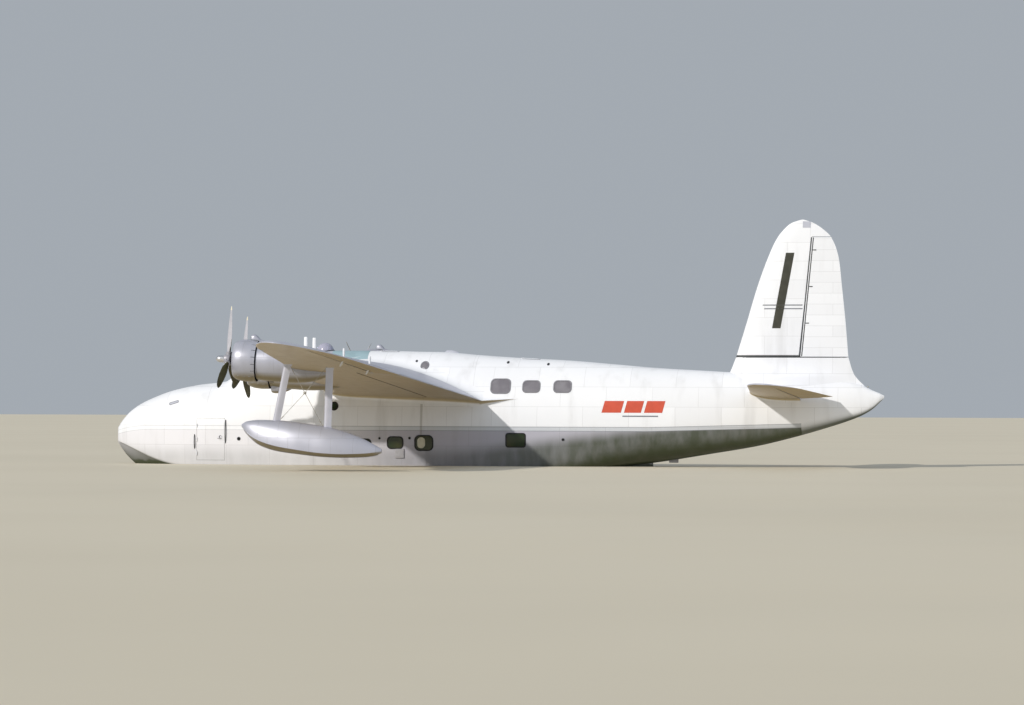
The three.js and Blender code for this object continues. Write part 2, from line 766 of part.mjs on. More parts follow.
// Seen from behind the propellers turn clockwise, so an upright blade's starboard edge leads and lies ahead
function bladeBody() {
  return loft(BLADE.map(([radius, chord, thickness, pitch]) => {
    const lean = -THREE.MathUtils.degToRad(pitch);
    return Array.from({ length: 6 }, (_, k) => {
      const angle = (k / 6) * 2 * Math.PI;
      const across = (chord / 2) * Math.cos(angle);
      const through = (thickness / 2) * Math.sin(angle);
      const x = across * Math.sin(lean) + through * Math.cos(lean);
      const y = across * Math.cos(lean) - through * Math.sin(lean);
      return new THREE.Vector3(x, y, radius);
    });
  }));
}

function propellerBody() {
  let propeller = turned(HUB, 12);
  for (let k = 0; k < BLADES; k += 1) {
    const blade = geometryOf(bladeBody()).rotateX((k / BLADES) * 2 * Math.PI).translate(BLADE_PLANE, 0, 0);
    propeller = propeller.add(solid(blade));
  }
  return propeller;
}

const cowlingBody = turned(COWLING, ROUND);
const engineSolid = engineBody();
const propellerSolid = propellerBody();
const wingSkins = { left: wingSkin, right: mirrored(wingSkin) };

for (const [name, span, station, height, stretch, phase, cooled] of ENGINES) {
  const side = Math.sign(span);
  const place = new THREE.Group();
  place.position.copy(point(station, span, height));
  place.rotation.set(0, THRUST_TILT, -side * TOE_OUT, 'ZYX');
  model.add(place);
  place.updateMatrixWorld(true);
  const skin = geometryOf(wingSkins[side < 0 ? 'left' : 'right']).applyMatrix4(place.matrixWorld.clone().invert());
  addPiece(`nacelle_${name}`, largest(nacelleBody(stretch, cooled).subtract(solid(skin))), 'silver', place);
  addPiece(`cowling_${name}`, cowlingBody, 'silver', place);
  addPiece(`engine_${name}`, engineSolid, 'metal', place);
  const spinner = new THREE.Group();
  spinner.rotation.x = THREE.MathUtils.degToRad(phase);
  place.add(spinner);
  addPiece(`propeller_${name}`, propellerSolid, 'blade', spinner);
}

// Wing floats

function floatRing([station, keel, chine, half, top], grow = 0) {
  const sides = [[0, keel - grow], [half + grow, chine]];
  for (const angle of [30, 60, 78].map(THREE.MathUtils.degToRad)) {
    sides.push([(half + grow) * Math.cos(angle) ** 0.8, lerp(chine, top + grow, Math.sin(angle))]);
  }
  const outer = sides.map(([y, z]) => point(station, -FLOAT_SPAN - y, z));
  const inner = sides.slice(1).reverse().map(([y, z]) => point(station, -FLOAT_SPAN + y, z));
  return [...outer, point(station, -FLOAT_SPAN, top + grow), ...inner];
}

addPair('float', loft(FLOAT.map((row) => floatRing(row))), 'silver');
const floatSkin = loft(FLOAT.map((row) => floatRing(row, 2 * GAP)));

// Streamlined strut, grown by a gap: an ellipse of chord and thickness along a line
function strutBody(top, foot, grow) {
  const ring = (centre) => Array.from({ length: 12 }, (_, k) => {
    const angle = (k / 12) * 2 * Math.PI;
    const x = ((STRUT.chord + grow) / 2) * Math.cos(angle);
    const y = ((STRUT.thickness + grow) / 2) * Math.sin(angle);
    return new THREE.Vector3(x, y, 0).add(centre);
  });
  return loft([ring(foot), ring(top)]);
}

const strutSkins = [];
for (const [name, topStation, top, footStation, foot] of FLOAT_STRUTS) {
  const ends = [point(topStation, -FLOAT_SPAN, top), point(footStation, -FLOAT_SPAN, foot)];
  const strut = strutBody(...ends, 0).subtract(wingSkin).subtract(floatSkin);
  strutSkins.push(strutBody(...ends, 2));
  addPair(`float_strut_${name}`, largest(strut), 'silver');
}

// The wires are held at a small acorn where they cross
const crossing = point(WIRE_CROSSING.station, -FLOAT_SPAN, WIRE_CROSSING.height);
const ball = new THREE.SphereGeometry(WIRE_CROSSING.radius, 8, 4).scale(WIRE_CROSSING.stretch, 1, 1);
const wireEnds = WIRES.flatMap(([x0, z0, x1, z1]) => [point(x0, -FLOAT_SPAN, z0), point(x1, -FLOAT_SPAN, z1)]);
const wires = wireEnds.reduce(
  (all, end) => all.add(bar(crossing, end, WIRE_RADIUS, WIRE_RADIUS, 6)),
  solid(ball.translate(...crossing.toArray())),
);
addPair('float_bracing', largest(
  wires.subtract(wingSkin).subtract(floatSkin).subtract(strutSkins[0]).subtract(strutSkins[1]),
), 'metal');

// Tail

// A symmetrical section, standing at a height or lying at a span
function finRing([height, leading, trailing, thickness]) {
  const chord = trailing - leading;
  return airfoilRing((share, up) => {
    const y = chord * airfoilAt(share, thickness, 0, up);
    return point(leading + share * chord, y, height);
  });
}

addPiece('fin_fairing', largest(loft(FIN_FAIRING.map(finRing)).subtract(tailSkin)), 'white');

const fullFin = loft(FIN.map(finRing));
const finAft = new THREE.Vector3(1, 0, 0);
const rudderFoot = point(RUDDER_HINGE.footStation, 0, RUDDER_HINGE.foot);
const rudderTop = point(RUDDER_HINGE.topStation, 0, RUDDER_HINGE.top);
const rudderSlab = block([20000, -1000, RUDDER.bottom], [LENGTH, 1000, RUDDER.top]);
const finSlab = block([20000, -1000, 3000], [LENGTH, 1000, RUDDER.capBottom]);
const rudderLine = [rudderFoot, rudderTop, finAft];
const rudderNose = controlSpace(...rudderLine, noseRadii(RUDDER_HINGE.halves), 0, 0);
const rudder = fullFin.intersect(rudderNose).intersect(rudderSlab);
const finCove = controlSpace(...rudderLine, coveRadii(RUDDER_HINGE.halves), RUDDER_HINGE.overhang, CLEAR);
addPiece('fin', largest(fullFin.subtract(finCove.intersect(finSlab))), 'white');
addPiece('rudder', largest(rudder), 'white');

function tailplaneAt(span) {
  const leadingLine = TAILPLANE.leading + TAILPLANE.leadingSweep * span;
  const trailingLine = TAILPLANE.trailing + TAILPLANE.trailingSweep * span;
  const straight = trailingLine - leadingLine;
  const round = Math.max(0, (span - TAILPLANE.roundFrom) / (TAILPLANE.tip - TAILPLANE.roundFrom));
  const full = Math.sqrt(1 - round ** 2);
  return {
    leading: leadingLine + TAILPLANE.roundCentre * straight * (1 - full),
    chord: straight * full,
    height: TAILPLANE.height + TAILPLANE.rise * span,
    thickness: lerp(TAILPLANE.rootThickness, TAILPLANE.tipThickness, span / TAILPLANE.tip),
  };
}

// A point of the tailplane's middle plane, which tilts up in front of its pivot
function tailplaneMiddle(at, span, station) {
  return point(station, -span, at.height + Math.tan(TAILPLANE.incidence) * (TAILPLANE.pivot - station));
}

function tailplanePoint(span, share, up) {
  const at = tailplaneAt(span);
  const skin = tailplaneMiddle(at, span, at.leading + share * at.chord);
  skin.z += at.chord * airfoilAt(share, at.thickness, 0, up);
  return skin;
}

const fullTailplane = loft(TAILPLANE_SPANS.map((span) => airfoilRing((share, up) => tailplanePoint(span, share, up))));

function elevatorEnd(span, station) {
  const at = tailplaneAt(span);
  const share = (station - at.leading) / at.chord;
  return { centre: tailplaneMiddle(at, span, station), half: at.chord * airfoilAt(share, at.thickness, 0, true) };
}

const elevatorInner = elevatorEnd(ELEVATOR.inner, ELEVATOR.innerStation);
const elevatorOuter = elevatorEnd(ELEVATOR.outer, ELEVATOR.outerStation);
const tailAft = new THREE.Vector3(Math.cos(TAILPLANE.incidence), 0, -Math.sin(TAILPLANE.incidence));
const elevatorLine = [elevatorInner.centre, elevatorOuter.centre, tailAft];
const elevatorEnds = [elevatorInner.half, elevatorOuter.half];
const elevator = fullTailplane.intersect(controlSpace(...elevatorLine, noseRadii(elevatorEnds), 0, 0));
const elevatorCove = controlSpace(...elevatorLine, coveRadii(elevatorEnds), ELEVATOR.overhang, CLEAR);
// Behind the hinge the tailplane ends at the elevator, so the stub next to the hull is cut away too
const stubSpace = block([ELEVATOR.innerStation - ELEVATOR.overhang, -ELEVATOR.inner - 40, 2000], [25200, -200, 2900]);
addPair('tailplane', largest(
  fullTailplane.subtract(tailSkin).subtract(elevatorCove).subtract(stubSpace),
), 'silver');
addPair('elevator', largest(elevator), 'silver');

export default model;
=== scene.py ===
"""Four-engined passenger flying boat, afloat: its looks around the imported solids.

Metres. +X is aft, +Y to starboard, +Z up from the waterline. A station is a distance aft of the nose tip.
A part is (points, faces). Shapes of one side are made to port and mirrored.
"""

import math

import bpy
import numpy as np
from mathutils import Matrix, Vector


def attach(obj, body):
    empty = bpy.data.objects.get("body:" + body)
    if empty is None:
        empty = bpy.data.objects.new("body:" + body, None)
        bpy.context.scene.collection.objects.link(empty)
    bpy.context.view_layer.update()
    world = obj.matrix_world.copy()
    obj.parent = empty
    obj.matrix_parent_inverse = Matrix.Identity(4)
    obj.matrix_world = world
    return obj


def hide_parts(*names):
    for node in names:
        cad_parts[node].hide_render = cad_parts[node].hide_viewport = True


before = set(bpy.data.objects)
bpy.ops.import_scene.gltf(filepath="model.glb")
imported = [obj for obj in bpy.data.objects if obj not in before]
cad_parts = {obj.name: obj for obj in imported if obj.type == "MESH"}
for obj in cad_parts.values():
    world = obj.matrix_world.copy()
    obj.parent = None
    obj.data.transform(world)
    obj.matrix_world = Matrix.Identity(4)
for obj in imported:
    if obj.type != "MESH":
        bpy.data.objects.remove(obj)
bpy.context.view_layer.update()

NOSE = 9.6  # from the nose tip back to the origin
HULL_POWER = 2.2  # of the superellipse over the hull's widest line
STEP = 11.2
STERN_POST = 18.6
LENGTH = 26.29
QUARTER = np.pi / 2
SIDES = {"left": -1, "right": 1}

# Arrays and meshes


def columns(table, places):
    """A table's columns at places, on monotone cubics, which don't overshoot its rows."""
    places = np.asarray(places, float)
    x, values = table[:, 0], table[:, 1:]
    run = np.diff(x)[:, None]
    rise = np.diff(values, axis=0) / run
    first, last = run[:-1] + 2 * run[1:], 2 * run[:-1] + run[1:]
    with np.errstate(divide="ignore", invalid="ignore"):
        inner = (first + last) / (first / rise[:-1] + last / rise[1:])
    inner = np.where(rise[:-1] * rise[1:] > 0, inner, 0)
    slope = np.vstack([rise[:1], inner, rise[-1:]])
    k = np.clip(np.searchsorted(x, places, side="right") - 1, 0, len(x) - 2)
    h = run[k]
    t = (np.clip(places, x[0], x[-1]) - x[k])[..., None] / h
    low = (1 + 2 * t) * (1 - t) ** 2 * values[k] + t * (1 - t) ** 2 * h * slope[k]
    high = t * t * (3 - 2 * t) * values[k + 1] + t * t * (t - 1) * h * slope[k + 1]
    return np.moveaxis(low + high, -1, 0)


def spread(*parts):
    """Places in stretches: each part is (from, to, count), and a shared end is kept once."""
    runs = [np.linspace(a, b, n + 1) for a, b, n in parts]
    return np.concatenate([runs[0]] + [r[1:] for r in runs[1:]])


def around(count):
    return np.linspace(0, 2 * np.pi, count, endpoint=False)


def points(x, y, z):
    """Coordinates, broadcast together, as an array of points."""
    return np.stack(np.broadcast_arrays(x, y, z), -1).astype(float)


def at(station, y, z):
    """Points whose first coordinate is a station."""
    return points(np.asarray(station) - NOSE, y, z)


def turned_out(part, inside=None):
    """The part with its faces away from a point inside, by the sign of their flux from there."""
    p, faces = part
    quads = np.array([f[:4] if len(f) > 3 else [*f, f[2]] for f in faces])
    corner = p[quads] - (p.mean(0) if inside is None else inside)
    normal = np.cross(corner[:, 2] - corner[:, 0], corner[:, 3] - corner[:, 1])
    out = (normal * corner.mean(1)).sum() >= 0
    return part if out else (p, [f[::-1] for f in faces])


def grid_faces(p, closed=False, skip=None):
    """Quads of a grid of points, joined round from its last column to its first where closed."""
    rows, count = p.shape[:2]
    r, c = np.meshgrid(np.arange(rows - 1), np.arange(count if closed else count - 1), indexing="ij")
    n = (c + 1) % count
    quads = np.stack([r * count + c, r * count + n, (r + 1) * count + n, (r + 1) * count + c], -1)
    return (quads if skip is None else quads[~skip]).reshape(-1, 4).tolist()


def sheet(p, inside, skip=None):
    """An open sheet through a grid of points, its faces away from a point inside."""
    return turned_out((p.reshape(-1, 3), grid_faces(p, skip=skip)), inside)


def tube(p, caps=True, inside=None):
    """A tube through rings of points, closed at both ends by one face each."""
    rows, count = p.shape[:2]
    faces = grid_faces(p, True)
    if caps:
        faces += [list(range(count))[::-1], [(rows - 1) * count + k for k in range(count)]]
    return turned_out((p.reshape(-1, 3), faces), inside)


def ring_tube(p):
    """A tube whose last ring joins its first."""
    return tube(np.concatenate([p, p[:1]]), caps=False)


def mirror(part):
    """A part's like on the other side, its faces turned to point out again."""
    p, faces = part
    return p * [1, -1, 1], [f[::-1] for f in faces]


def sided(side, parts):
    """Port parts as they are, or to starboard."""
    return [part if side < 0 else mirror(part) for part in parts]


def both(*parts):
    return sided(-1, parts) + sided(1, parts)


def whole(half, picked=slice(-2, None, -1)):
    """Rings of half a section, followed by the picked ones of their points again to starboard."""
    return np.concatenate([half, half[:, picked] * [1, -1, 1]], 1)


def rim(p):
    """The points round a grid's edge."""
    return np.concatenate([p[:, 0], p[-1, 1:], p[-2::-1, -1], p[0, -2:0:-1]])


def moved(part, rotation, shift=(0, 0, 0)):
    p, faces = part
    return p @ rotation.T + np.asarray(shift), faces


def turn_about(axis, angle):
    """Rotation matrix about X, Y or Z."""
    c, s = math.cos(angle), math.sin(angle)
    return np.array({
        "x": [[1, 0, 0], [0, c, -s], [0, s, c]],
        "y": [[c, 0, s], [0, 1, 0], [-s, 0, c]],
        "z": [[c, -s, 0], [s, c, 0], [0, 0, 1]],
    }[axis])


def welded(part):
    """A part with points in the same place made one, and faces that this leaves without area dropped."""
    p, faces = part
    places = np.round(p / 1e-5).astype(np.int64)
    _, first, where = np.unique(places, axis=0, return_index=True, return_inverse=True)
    where = where.ravel()
    kept = []
    for face in faces:
        corners = [int(where[k]) for k in face]
        corners = [c for i, c in enumerate(corners) if c != corners[i - 1]]
        if len(set(corners)) > 2:
            kept.append(corners)
    return p[first], kept


def piece(name, parts, paints, node=None, crease=32, body="airframe"):
    """One mesh, riding on a body: parts in one paint, or a list of parts for each of several paints. node
    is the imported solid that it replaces."""
    if isinstance(paints, str):
        parts, paints = [parts], [paints]
    all_points, faces, numbers, count = [], [], [], 0
    for number, group in enumerate(parts):
        for part in group:
            p, part_faces = welded(part)
            all_points.append(p)
            faces += [[k + count for k in f] for f in part_faces]
            numbers += [number] * len(part_faces)
            count += len(p)
    mesh = bpy.data.meshes.new(name)
    mesh.from_pydata(np.concatenate(all_points).tolist(), [], faces)
    mesh.validate()
    for paint in paints:
        mesh.materials.append(bpy.data.materials[paint])
    if len(mesh.polygons) == len(numbers):
        mesh.polygons.foreach_set("material_index", numbers)
    mesh.polygons.foreach_set("use_smooth", [True] * len(mesh.polygons))
    mesh.set_sharp_from_angle(angle=math.radians(crease))
    made = bpy.data.objects.new(name, mesh)
    bpy.context.scene.collection.objects.link(made)
    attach(made, body)
    if node:
        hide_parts(node)
    return made


def skin(node, parts, paints, crease=32, body="airframe"):
    """A piece named for the one solid that it replaces."""
    return piece(f"{node}_skin", parts, paints, node, crease, body)


def turned(profile, count):
    """A profile of (x, radius) turned round the X axis: y = radius sin a, z = radius cos a."""
    profile = np.asarray(profile, float)
    a = around(count)
    return points(profile[:, :1] + 0 * a, profile[:, 1:] * np.sin(a), profile[:, 1:] * np.cos(a))


def rod(path, radius, count=10, closed=False, flat=1.0):
    """A round bar: each ring is path + radius (cos a side + sin a up), with side as level as it can be."""
    path = np.asarray(path, float)
    ahead = np.roll(path, -1, 0) - np.roll(path, 1, 0) if closed else np.gradient(path, axis=0)
    ahead /= np.linalg.norm(ahead, axis=1, keepdims=True)
    side = np.cross(ahead, np.where(np.abs(ahead[:, 2:]) > 0.9, [[1.0, 0, 0]], [[0, 0, 1.0]]))
    side /= np.linalg.norm(side, axis=1, keepdims=True)
    up = np.cross(side, ahead)
    a = around(count)[None, :, None]
    r = np.broadcast_to(np.asarray(radius, float), (len(path),))[:, None, None]
    rings = path[:, None] + r * (np.cos(a) * side[:, None] + flat * np.sin(a) * up[:, None])
    return ring_tube(rings) if closed else tube(rings)


def corners(count):
    """Angles round four rounded corners, and the signs of each corner's two coordinates."""
    a = np.linspace(0, QUARTER, count + 1)
    turn = np.concatenate([a + k * QUARTER for k in range(4)])
    return turn, np.repeat([1, -1, -1, 1], count + 1), np.repeat([1, 1, -1, -1], count + 1)


def rounded_box(low, high, radius, count=3):
    """A box with rounded edges: a rounded rectangle seen from above, drawn in towards its top and bottom."""
    low, high = np.minimum(low, high), np.maximum(low, high)
    centre, half = (low + high) / 2, (high - low) / 2
    radius = min(radius, *half)
    corner, sx, sy = corners(count)
    a = np.linspace(0, QUARTER, count + 1)
    b = np.concatenate([a - QUARTER, a])[:, None]
    z = np.repeat([-1, 1], count + 1)[:, None]
    x = sx * (half[0] - radius) + radius * np.cos(b) * np.cos(corner)
    y = sy * (half[1] - radius) + radius * np.cos(b) * np.sin(corner)
    return tube(points(x, y, z * (half[2] - radius) + radius * np.sin(b)) + centre)


def block(stations, y, z, radius, count=3):
    """A rounded box between two stations, two breadths and two heights."""
    return rounded_box(*at(stations, y, z), radius, count)


def rounded_outline(width, height, radius, count=5):
    """Points round a rounded rectangle about the origin, (across, up)."""
    corner, sx, sy = corners(count)
    x = sx * (width / 2 - radius) + radius * np.cos(corner)
    y = sy * (height / 2 - radius) + radius * np.sin(corner)
    return np.stack([x, y], -1)


# Materials


def linear(hex_colour):
    """An sRGB hex colour as the linear one that shaders take."""
    c = np.array([int(hex_colour[k : k + 2], 16) for k in (1, 3, 5)]) / 255
    return (*np.where(c <= 0.04045, c / 12.92, ((c + 0.055) / 1.055) ** 2.4), 1.0)


def add(tree, kind, settings, inputs, out=0):
    """Adds a node with its settings, or only its operation's name, and its inputs, in order or by name, set
    to values or linked from sockets; gives its output."""
    made = tree.nodes.new("ShaderNode" + kind)
    for key, value in ({"operation": settings} if isinstance(settings, str) else settings).items():
        setattr(made, key, value)
    for key, value in (inputs if isinstance(inputs, dict) else dict(enumerate(inputs))).items():
        if isinstance(value, bpy.types.NodeSocket):
            tree.links.new(value, made.inputs[key])
        else:
            made.inputs[key].default_value = linear(value) if isinstance(value, str) else value
    return made.outputs[out]


MIX = {"data_type": "RGBA"}
SMOOTH = {"interpolation_type": "SMOOTHSTEP"}


def coats(tree, colour, layers):
    """A colour under further coats. Columns of the layers: colour, where it shows from 0 to 1, strength."""
    for over, where, strength in layers:
        share = add(tree, "Math", "MULTIPLY", [where, strength])
        colour = add(tree, "Mix", MIX, {0: share, 6: colour, 7: over}, 2)
    return colour


def new_material(name, base):
    """A material with its tree, its main shader with these values, and the piece's own coordinates."""
    made = bpy.data.materials.new(name)
    made.use_nodes = True
    tree = made.node_tree
    shader = tree.nodes["Principled BSDF"]
    for key, value in base.items():
        shader.inputs[key].default_value = linear(value) if isinstance(value, str) else value
    return tree, shader, add(tree, "TexCoord", {}, {}, "Object")


RIVET_HEAD = 0.006  # 5 mm snap heads, drawn a little larger so that they show
RIVET_PITCH = 0.06
# Heights in millimetres: how far sheets draw in between frames, seams lie in and rivet heads stand out
RELIEF = {"draw_in": 12.0, "seam": -2.0, "head": 1.5}
# Painted shade and water reflection on what faces down: colour, strength, and the slopes it grows between
UNDERSIDE_SHADE = ("#a9925a", 0.82, -0.12, -0.6)
DEEP_UNDERSIDE_SHADE = ("#837548", 0.85, -0.5, -0.85)
HULL_UNDERSIDE_SHADE = ("#343d20", 0.9, -0.25, -0.7)


def aircraft_skin(name, base, paint, across, panel, rivets=(RIVET_PITCH, 0.3), shade_below=UNDERSIDE_SHADE):
    """Riveted sheet: paint or dope over aluminium, each panel a little different, with dull dirt in seams
    and in runs, and painted shade and water reflection on its underside. across numbers the coordinates
    that the panels of this size are laid out on; paint is a colour, or a function of the tree and of the
    three coordinates."""
    tree, shader, place = new_material(name, base)
    axis = add(tree, "SeparateXYZ", {}, [place], slice(3))
    tint, seam = add(tree, "TexBrick", {"offset": 0.5}, {
        "Vector": add(tree, "CombineXYZ", {}, [axis[k] for k in across]),
        "Color1": (0, 0, 0, 1),
        "Color2": (1, 1, 1, 1),
        "Mortar": (0.5, 0.5, 0.5, 1),
        "Scale": 1.0,
        "Mortar Size": 0.006,
        "Mortar Smooth": 0.3,
        "Brick Width": panel[0],
        "Row Height": panel[1],
    }, slice(2))
    # Rivets: a dot wherever both coordinates are near a multiple of their pitch
    near = [add(tree, "Math", "PINGPONG", [axis[k], pitch / 2]) for k, pitch in zip(across, rivets)]
    away = add(tree, "VectorMath", "LENGTH", [add(tree, "CombineXYZ", {}, near)], "Value")
    head = add(tree, "MapRange", {}, [away, 0.0, RIVET_HEAD, 1.0, 0.0])
    runs = add(tree, "Mapping", {}, {"Vector": place, "Scale": (2.2, 2.2, 0.35)})
    runs = add(tree, "TexNoise", {}, {"Vector": runs, "Scale": 1.0, "Detail": 4.0})
    runs = add(tree, "MapRange", SMOOTH, [runs, 0.5, 0.78])
    slope = add(tree, "SeparateXYZ", {}, [add(tree, "TexCoord", {}, {}, "Normal")], "Z")
    under = add(tree, "MapRange", SMOOTH, [slope, shade_below[2], shade_below[3]])
    layers = [("#a9abb2", tint, 0.1), (shade_below[0], under, shade_below[1])]
    layers += [("#6f6a60", runs, 0.14), ("#55534f", seam, 0.24)]
    wear = add(tree, "TexNoise", {}, {"Vector": place, "Scale": 3.0, "Detail": 5.0})
    rough = base["Roughness"]
    height = add(tree, "TexNoise", {}, {"Vector": place, "Scale": 1.7, "Detail": 1.0})
    height = add(tree, "Math", "MULTIPLY", [height, RELIEF["draw_in"]])
    for where, key in ((seam, "seam"), (head, "head")):
        height = add(tree, "Math", "MULTIPLY_ADD", [where, RELIEF[key], height])
    bump = add(tree, "Bump", {}, {"Strength": 0.6, "Distance": 0.001, "Height": height})
    colour = coats(tree, paint(tree, axis) if callable(paint) else paint, layers)
    tree.links.new(colour, shader.inputs["Base Color"])
    worn = add(tree, "MapRange", {}, [wear, 0.0, 1.0, rough - 0.08, rough + 0.12])
    tree.links.new(worn, shader.inputs["Roughness"])
    tree.links.new(bump, shader.inputs["Normal"])


WHITE = "#f1f3f8"
STRIPE = {"top": 1.304, "bottom": 1.174, "rise": 0.028, "line": 0.011, "end": 23.6, "dip": 0.19}
GRIME_AND_LOW_SHADE = {"clear": 0.78, "full": 0.22, "rise": 0.12, "from": 12.5}
HULL_JOINT = 12.74
# Marks on the hull: an oil run from the wing's trailing edge, and the joint between two lengths of the hull.
# Columns: station, half width, middle height, half height, strength.
HULL_MARKS = [[11.02, 0.04, 1.56, 0.56, 0.35], [HULL_JOINT, 0.008, 2.55, 1.25, 0.2]]


def past(tree, x, station):
    """Distance aft of a station, or nothing ahead of it."""
    return add(tree, "Math", "MAXIMUM", [add(tree, "Math", "SUBTRACT", [x, station - NOSE]), 0.0])


def hull_paint(tree, axis):
    """White down to a double line along the side, pale grey between its lines, and bare metal under it that
    dulls going aft. The lines dip at the stem, climb a little along the tail, and end before the stern. Grime
    along the waterline, with painted shade and water reflection, darkens the lower side, most of all aft."""
    x, _, z = axis
    climb = add(tree, "Math", "MULTIPLY", [past(tree, x, STERN_POST), -STRIPE["rise"]])
    level = add(tree, "Math", "ADD", [z, climb])
    over_end = add(tree, "Math", "GREATER_THAN", [x, STRIPE["end"] - NOSE])
    level = add(tree, "Math", "MULTIPLY_ADD", [over_end, 10.0, level])
    ahead = add(tree, "MapRange", {}, [x, 1.5 - NOSE, -NOSE, 0.0, 1.0])
    ahead = add(tree, "Math", "POWER", [ahead, 2.0])
    level = add(tree, "Math", "MULTIPLY_ADD", [ahead, STRIPE["dip"], level])
    aft = add(tree, "MapRange", SMOOTH, [x, 6.5 - NOSE, 11.0 - NOSE])
    # Waterline grime with painted shade and water reflection on the lower side, deeper aft
    drop = add(tree, "Math", "MULTIPLY_ADD", [past(tree, x, GRIME_AND_LOW_SHADE["from"]), -GRIME_AND_LOW_SHADE["rise"], z])
    grime_and_shade = add(tree, "MapRange", SMOOTH, [drop, GRIME_AND_LOW_SHADE["full"], GRIME_AND_LOW_SHADE["clear"], 1.0, 0.0])
    place = add(tree, "TexCoord", {}, {}, "Object")
    streaks = add(tree, "Mapping", {}, {"Scale": (3.0, 3.0, 0.7), "Vector": place})
    streaks = add(tree, "TexNoise", {}, {"Vector": streaks, "Scale": 1.0, "Detail": 5.0})
    broken = add(tree, "MapRange", {}, [streaks, 0.3, 0.6, 0.75, 1.0])
    grime_and_shade = add(tree, "Math", "MULTIPLY", [grime_and_shade, broken])
    worse = add(tree, "MapRange", SMOOTH, [x, 8.0 - NOSE, 18.0 - NOSE, 0.3, 1.0])
    grime_and_shade = add(tree, "Math", "MULTIPLY", [grime_and_shade, worse])
    layers = [("#b4b3bf", aft, 1.0), ("#2f3b1c", grime_and_shade, 0.92)]
    # Ahead of the wing the lines are faint, a painted highlight of sunlight washing them out, and the stripe
    # between them is as white as the hull over it
    between = add(tree, "Mix", MIX, {0: aft, 6: WHITE, 7: "#cbcfd6"}, 2)
    sunlit_fade = add(tree, "MapRange", {}, [aft, 0.0, 1.0, 0.4, 1.0])
    for edge, colour in (("bottom", between), ("top", WHITE)):
        over = add(tree, "Math", "GREATER_THAN", [level, STRIPE[edge]])
        line = add(tree, "Math", "COMPARE", [level, STRIPE[edge], STRIPE["line"]])
        layers += [(colour, over, 1.0), ("#6d737d", add(tree, "Math", "MULTIPLY", [line, sunlit_fade]), 0.6)]
    for station, half, middle, reach, strength in HULL_MARKS:
        beside = add(tree, "Math", "COMPARE", [x, station - NOSE, half])
        within = add(tree, "Math", "COMPARE", [z, middle, reach])
        layers.append(("#5f5a4a", add(tree, "Math", "MULTIPLY", [beside, within]), strength))
    return coats(tree, "#e6e6ec", layers)


def bottom_colours(tree, axis):
    """Matt anti-fouling paint, brushed on and weeded, to just over the waterline, and bare sheet over it."""
    place = add(tree, "TexCoord", {}, {}, "Object")
    weed = add(tree, "TexNoise", {}, {"Vector": place, "Scale": 2.5, "Detail": 5.0})
    weed = add(tree, "MapRange", SMOOTH, [weed, 0.35, 0.7])
    edge = add(tree, "Math", "MULTIPLY_ADD", [weed, 0.06, axis[2]])
    over = add(tree, "MapRange", SMOOTH, [edge, 0.10, 0.20])
    return coats(tree, "#5d6156", [("#3f4a36", weed, 0.7), ("#c3c2ca", over, 1.0)])


# Chalked gloss enamel is mostly diffuse. Aluminium dope has fine metal flakes in lacquer, so half a metal's
# sheen with a blurred highlight. Doped fabric has no rivets, a dull sheen, and seams along its ribs.
ENAMEL, FABRIC, ANTIFOULING = {"Roughness": 0.38}, {"Roughness": 0.55}, {"Roughness": 0.6}
DOPE = {"Roughness": 0.38, "Metallic": 0.3}
SHEET_RIVETS = (RIVET_PITCH, 0.3)
# Columns: name, base, paint, coordinates across, panel, rivet pitches, painted underside shade
SKINS = [
    ["chalked_white_enamel", ENAMEL, WHITE, (0, 2), (1.5, 0.62), SHEET_RIVETS, UNDERSIDE_SHADE],
    ["hull_enamel_and_bare_sheet", ENAMEL, hull_paint, (0, 2), (1.52, 0.66), SHEET_RIVETS, HULL_UNDERSIDE_SHADE],
    ["antifouling_paint_and_bare_sheet", ANTIFOULING, bottom_colours, (0, 2), (1.52, 0.66),
     SHEET_RIVETS, HULL_UNDERSIDE_SHADE],
    ["aluminium_dope_on_sheet", DOPE, "#c6c7d4", (1, 0), (1.4, 0.8), (RIVET_PITCH, 0.4), UNDERSIDE_SHADE],
    ["aluminium_dope_on_sides", DOPE, "#b2b4c1", (0, 2), (0.66, 0.5), (RIVET_PITCH, 0.25), DEEP_UNDERSIDE_SHADE],
    ["doped_fabric", FABRIC, "#b4b4c0", (1, 0), (0.36, 6.0), (0.36, 9.0), UNDERSIDE_SHADE],
    ["white_doped_fabric", FABRIC, WHITE, (0, 2), (6.0, 0.36), (9.0, 0.36), UNDERSIDE_SHADE],
]
for row in SKINS:
    aircraft_skin(*row)


def plain_material(name, rough, metal, colour, second, scale, share=0.5, depth=0.001):
    """A finish whose colour drifts between two, uneven in its gloss, and in its surface by a depth."""
    tree, shader, place = new_material(name, {"Roughness": rough, "Metallic": metal})
    patches = add(tree, "TexNoise", {}, {"Vector": place, "Scale": scale, "Detail": 5.0})
    patches = add(tree, "MapRange", SMOOTH, [patches, 0.35, 0.7])
    tree.links.new(coats(tree, colour, [(second, patches, share)]), shader.inputs["Base Color"])
    wear = add(tree, "TexNoise", {}, {"Vector": place, "Scale": scale * 3, "Detail": 4.0})
    gloss = add(tree, "MapRange", {}, [wear, 0.0, 1.0, max(0.03, rough - 0.07), rough + 0.1])
    tree.links.new(gloss, shader.inputs["Roughness"])
    bump = add(tree, "Bump", {}, {"Strength": 0.5, "Distance": depth, "Height": wear})
    tree.links.new(bump, shader.inputs["Normal"])
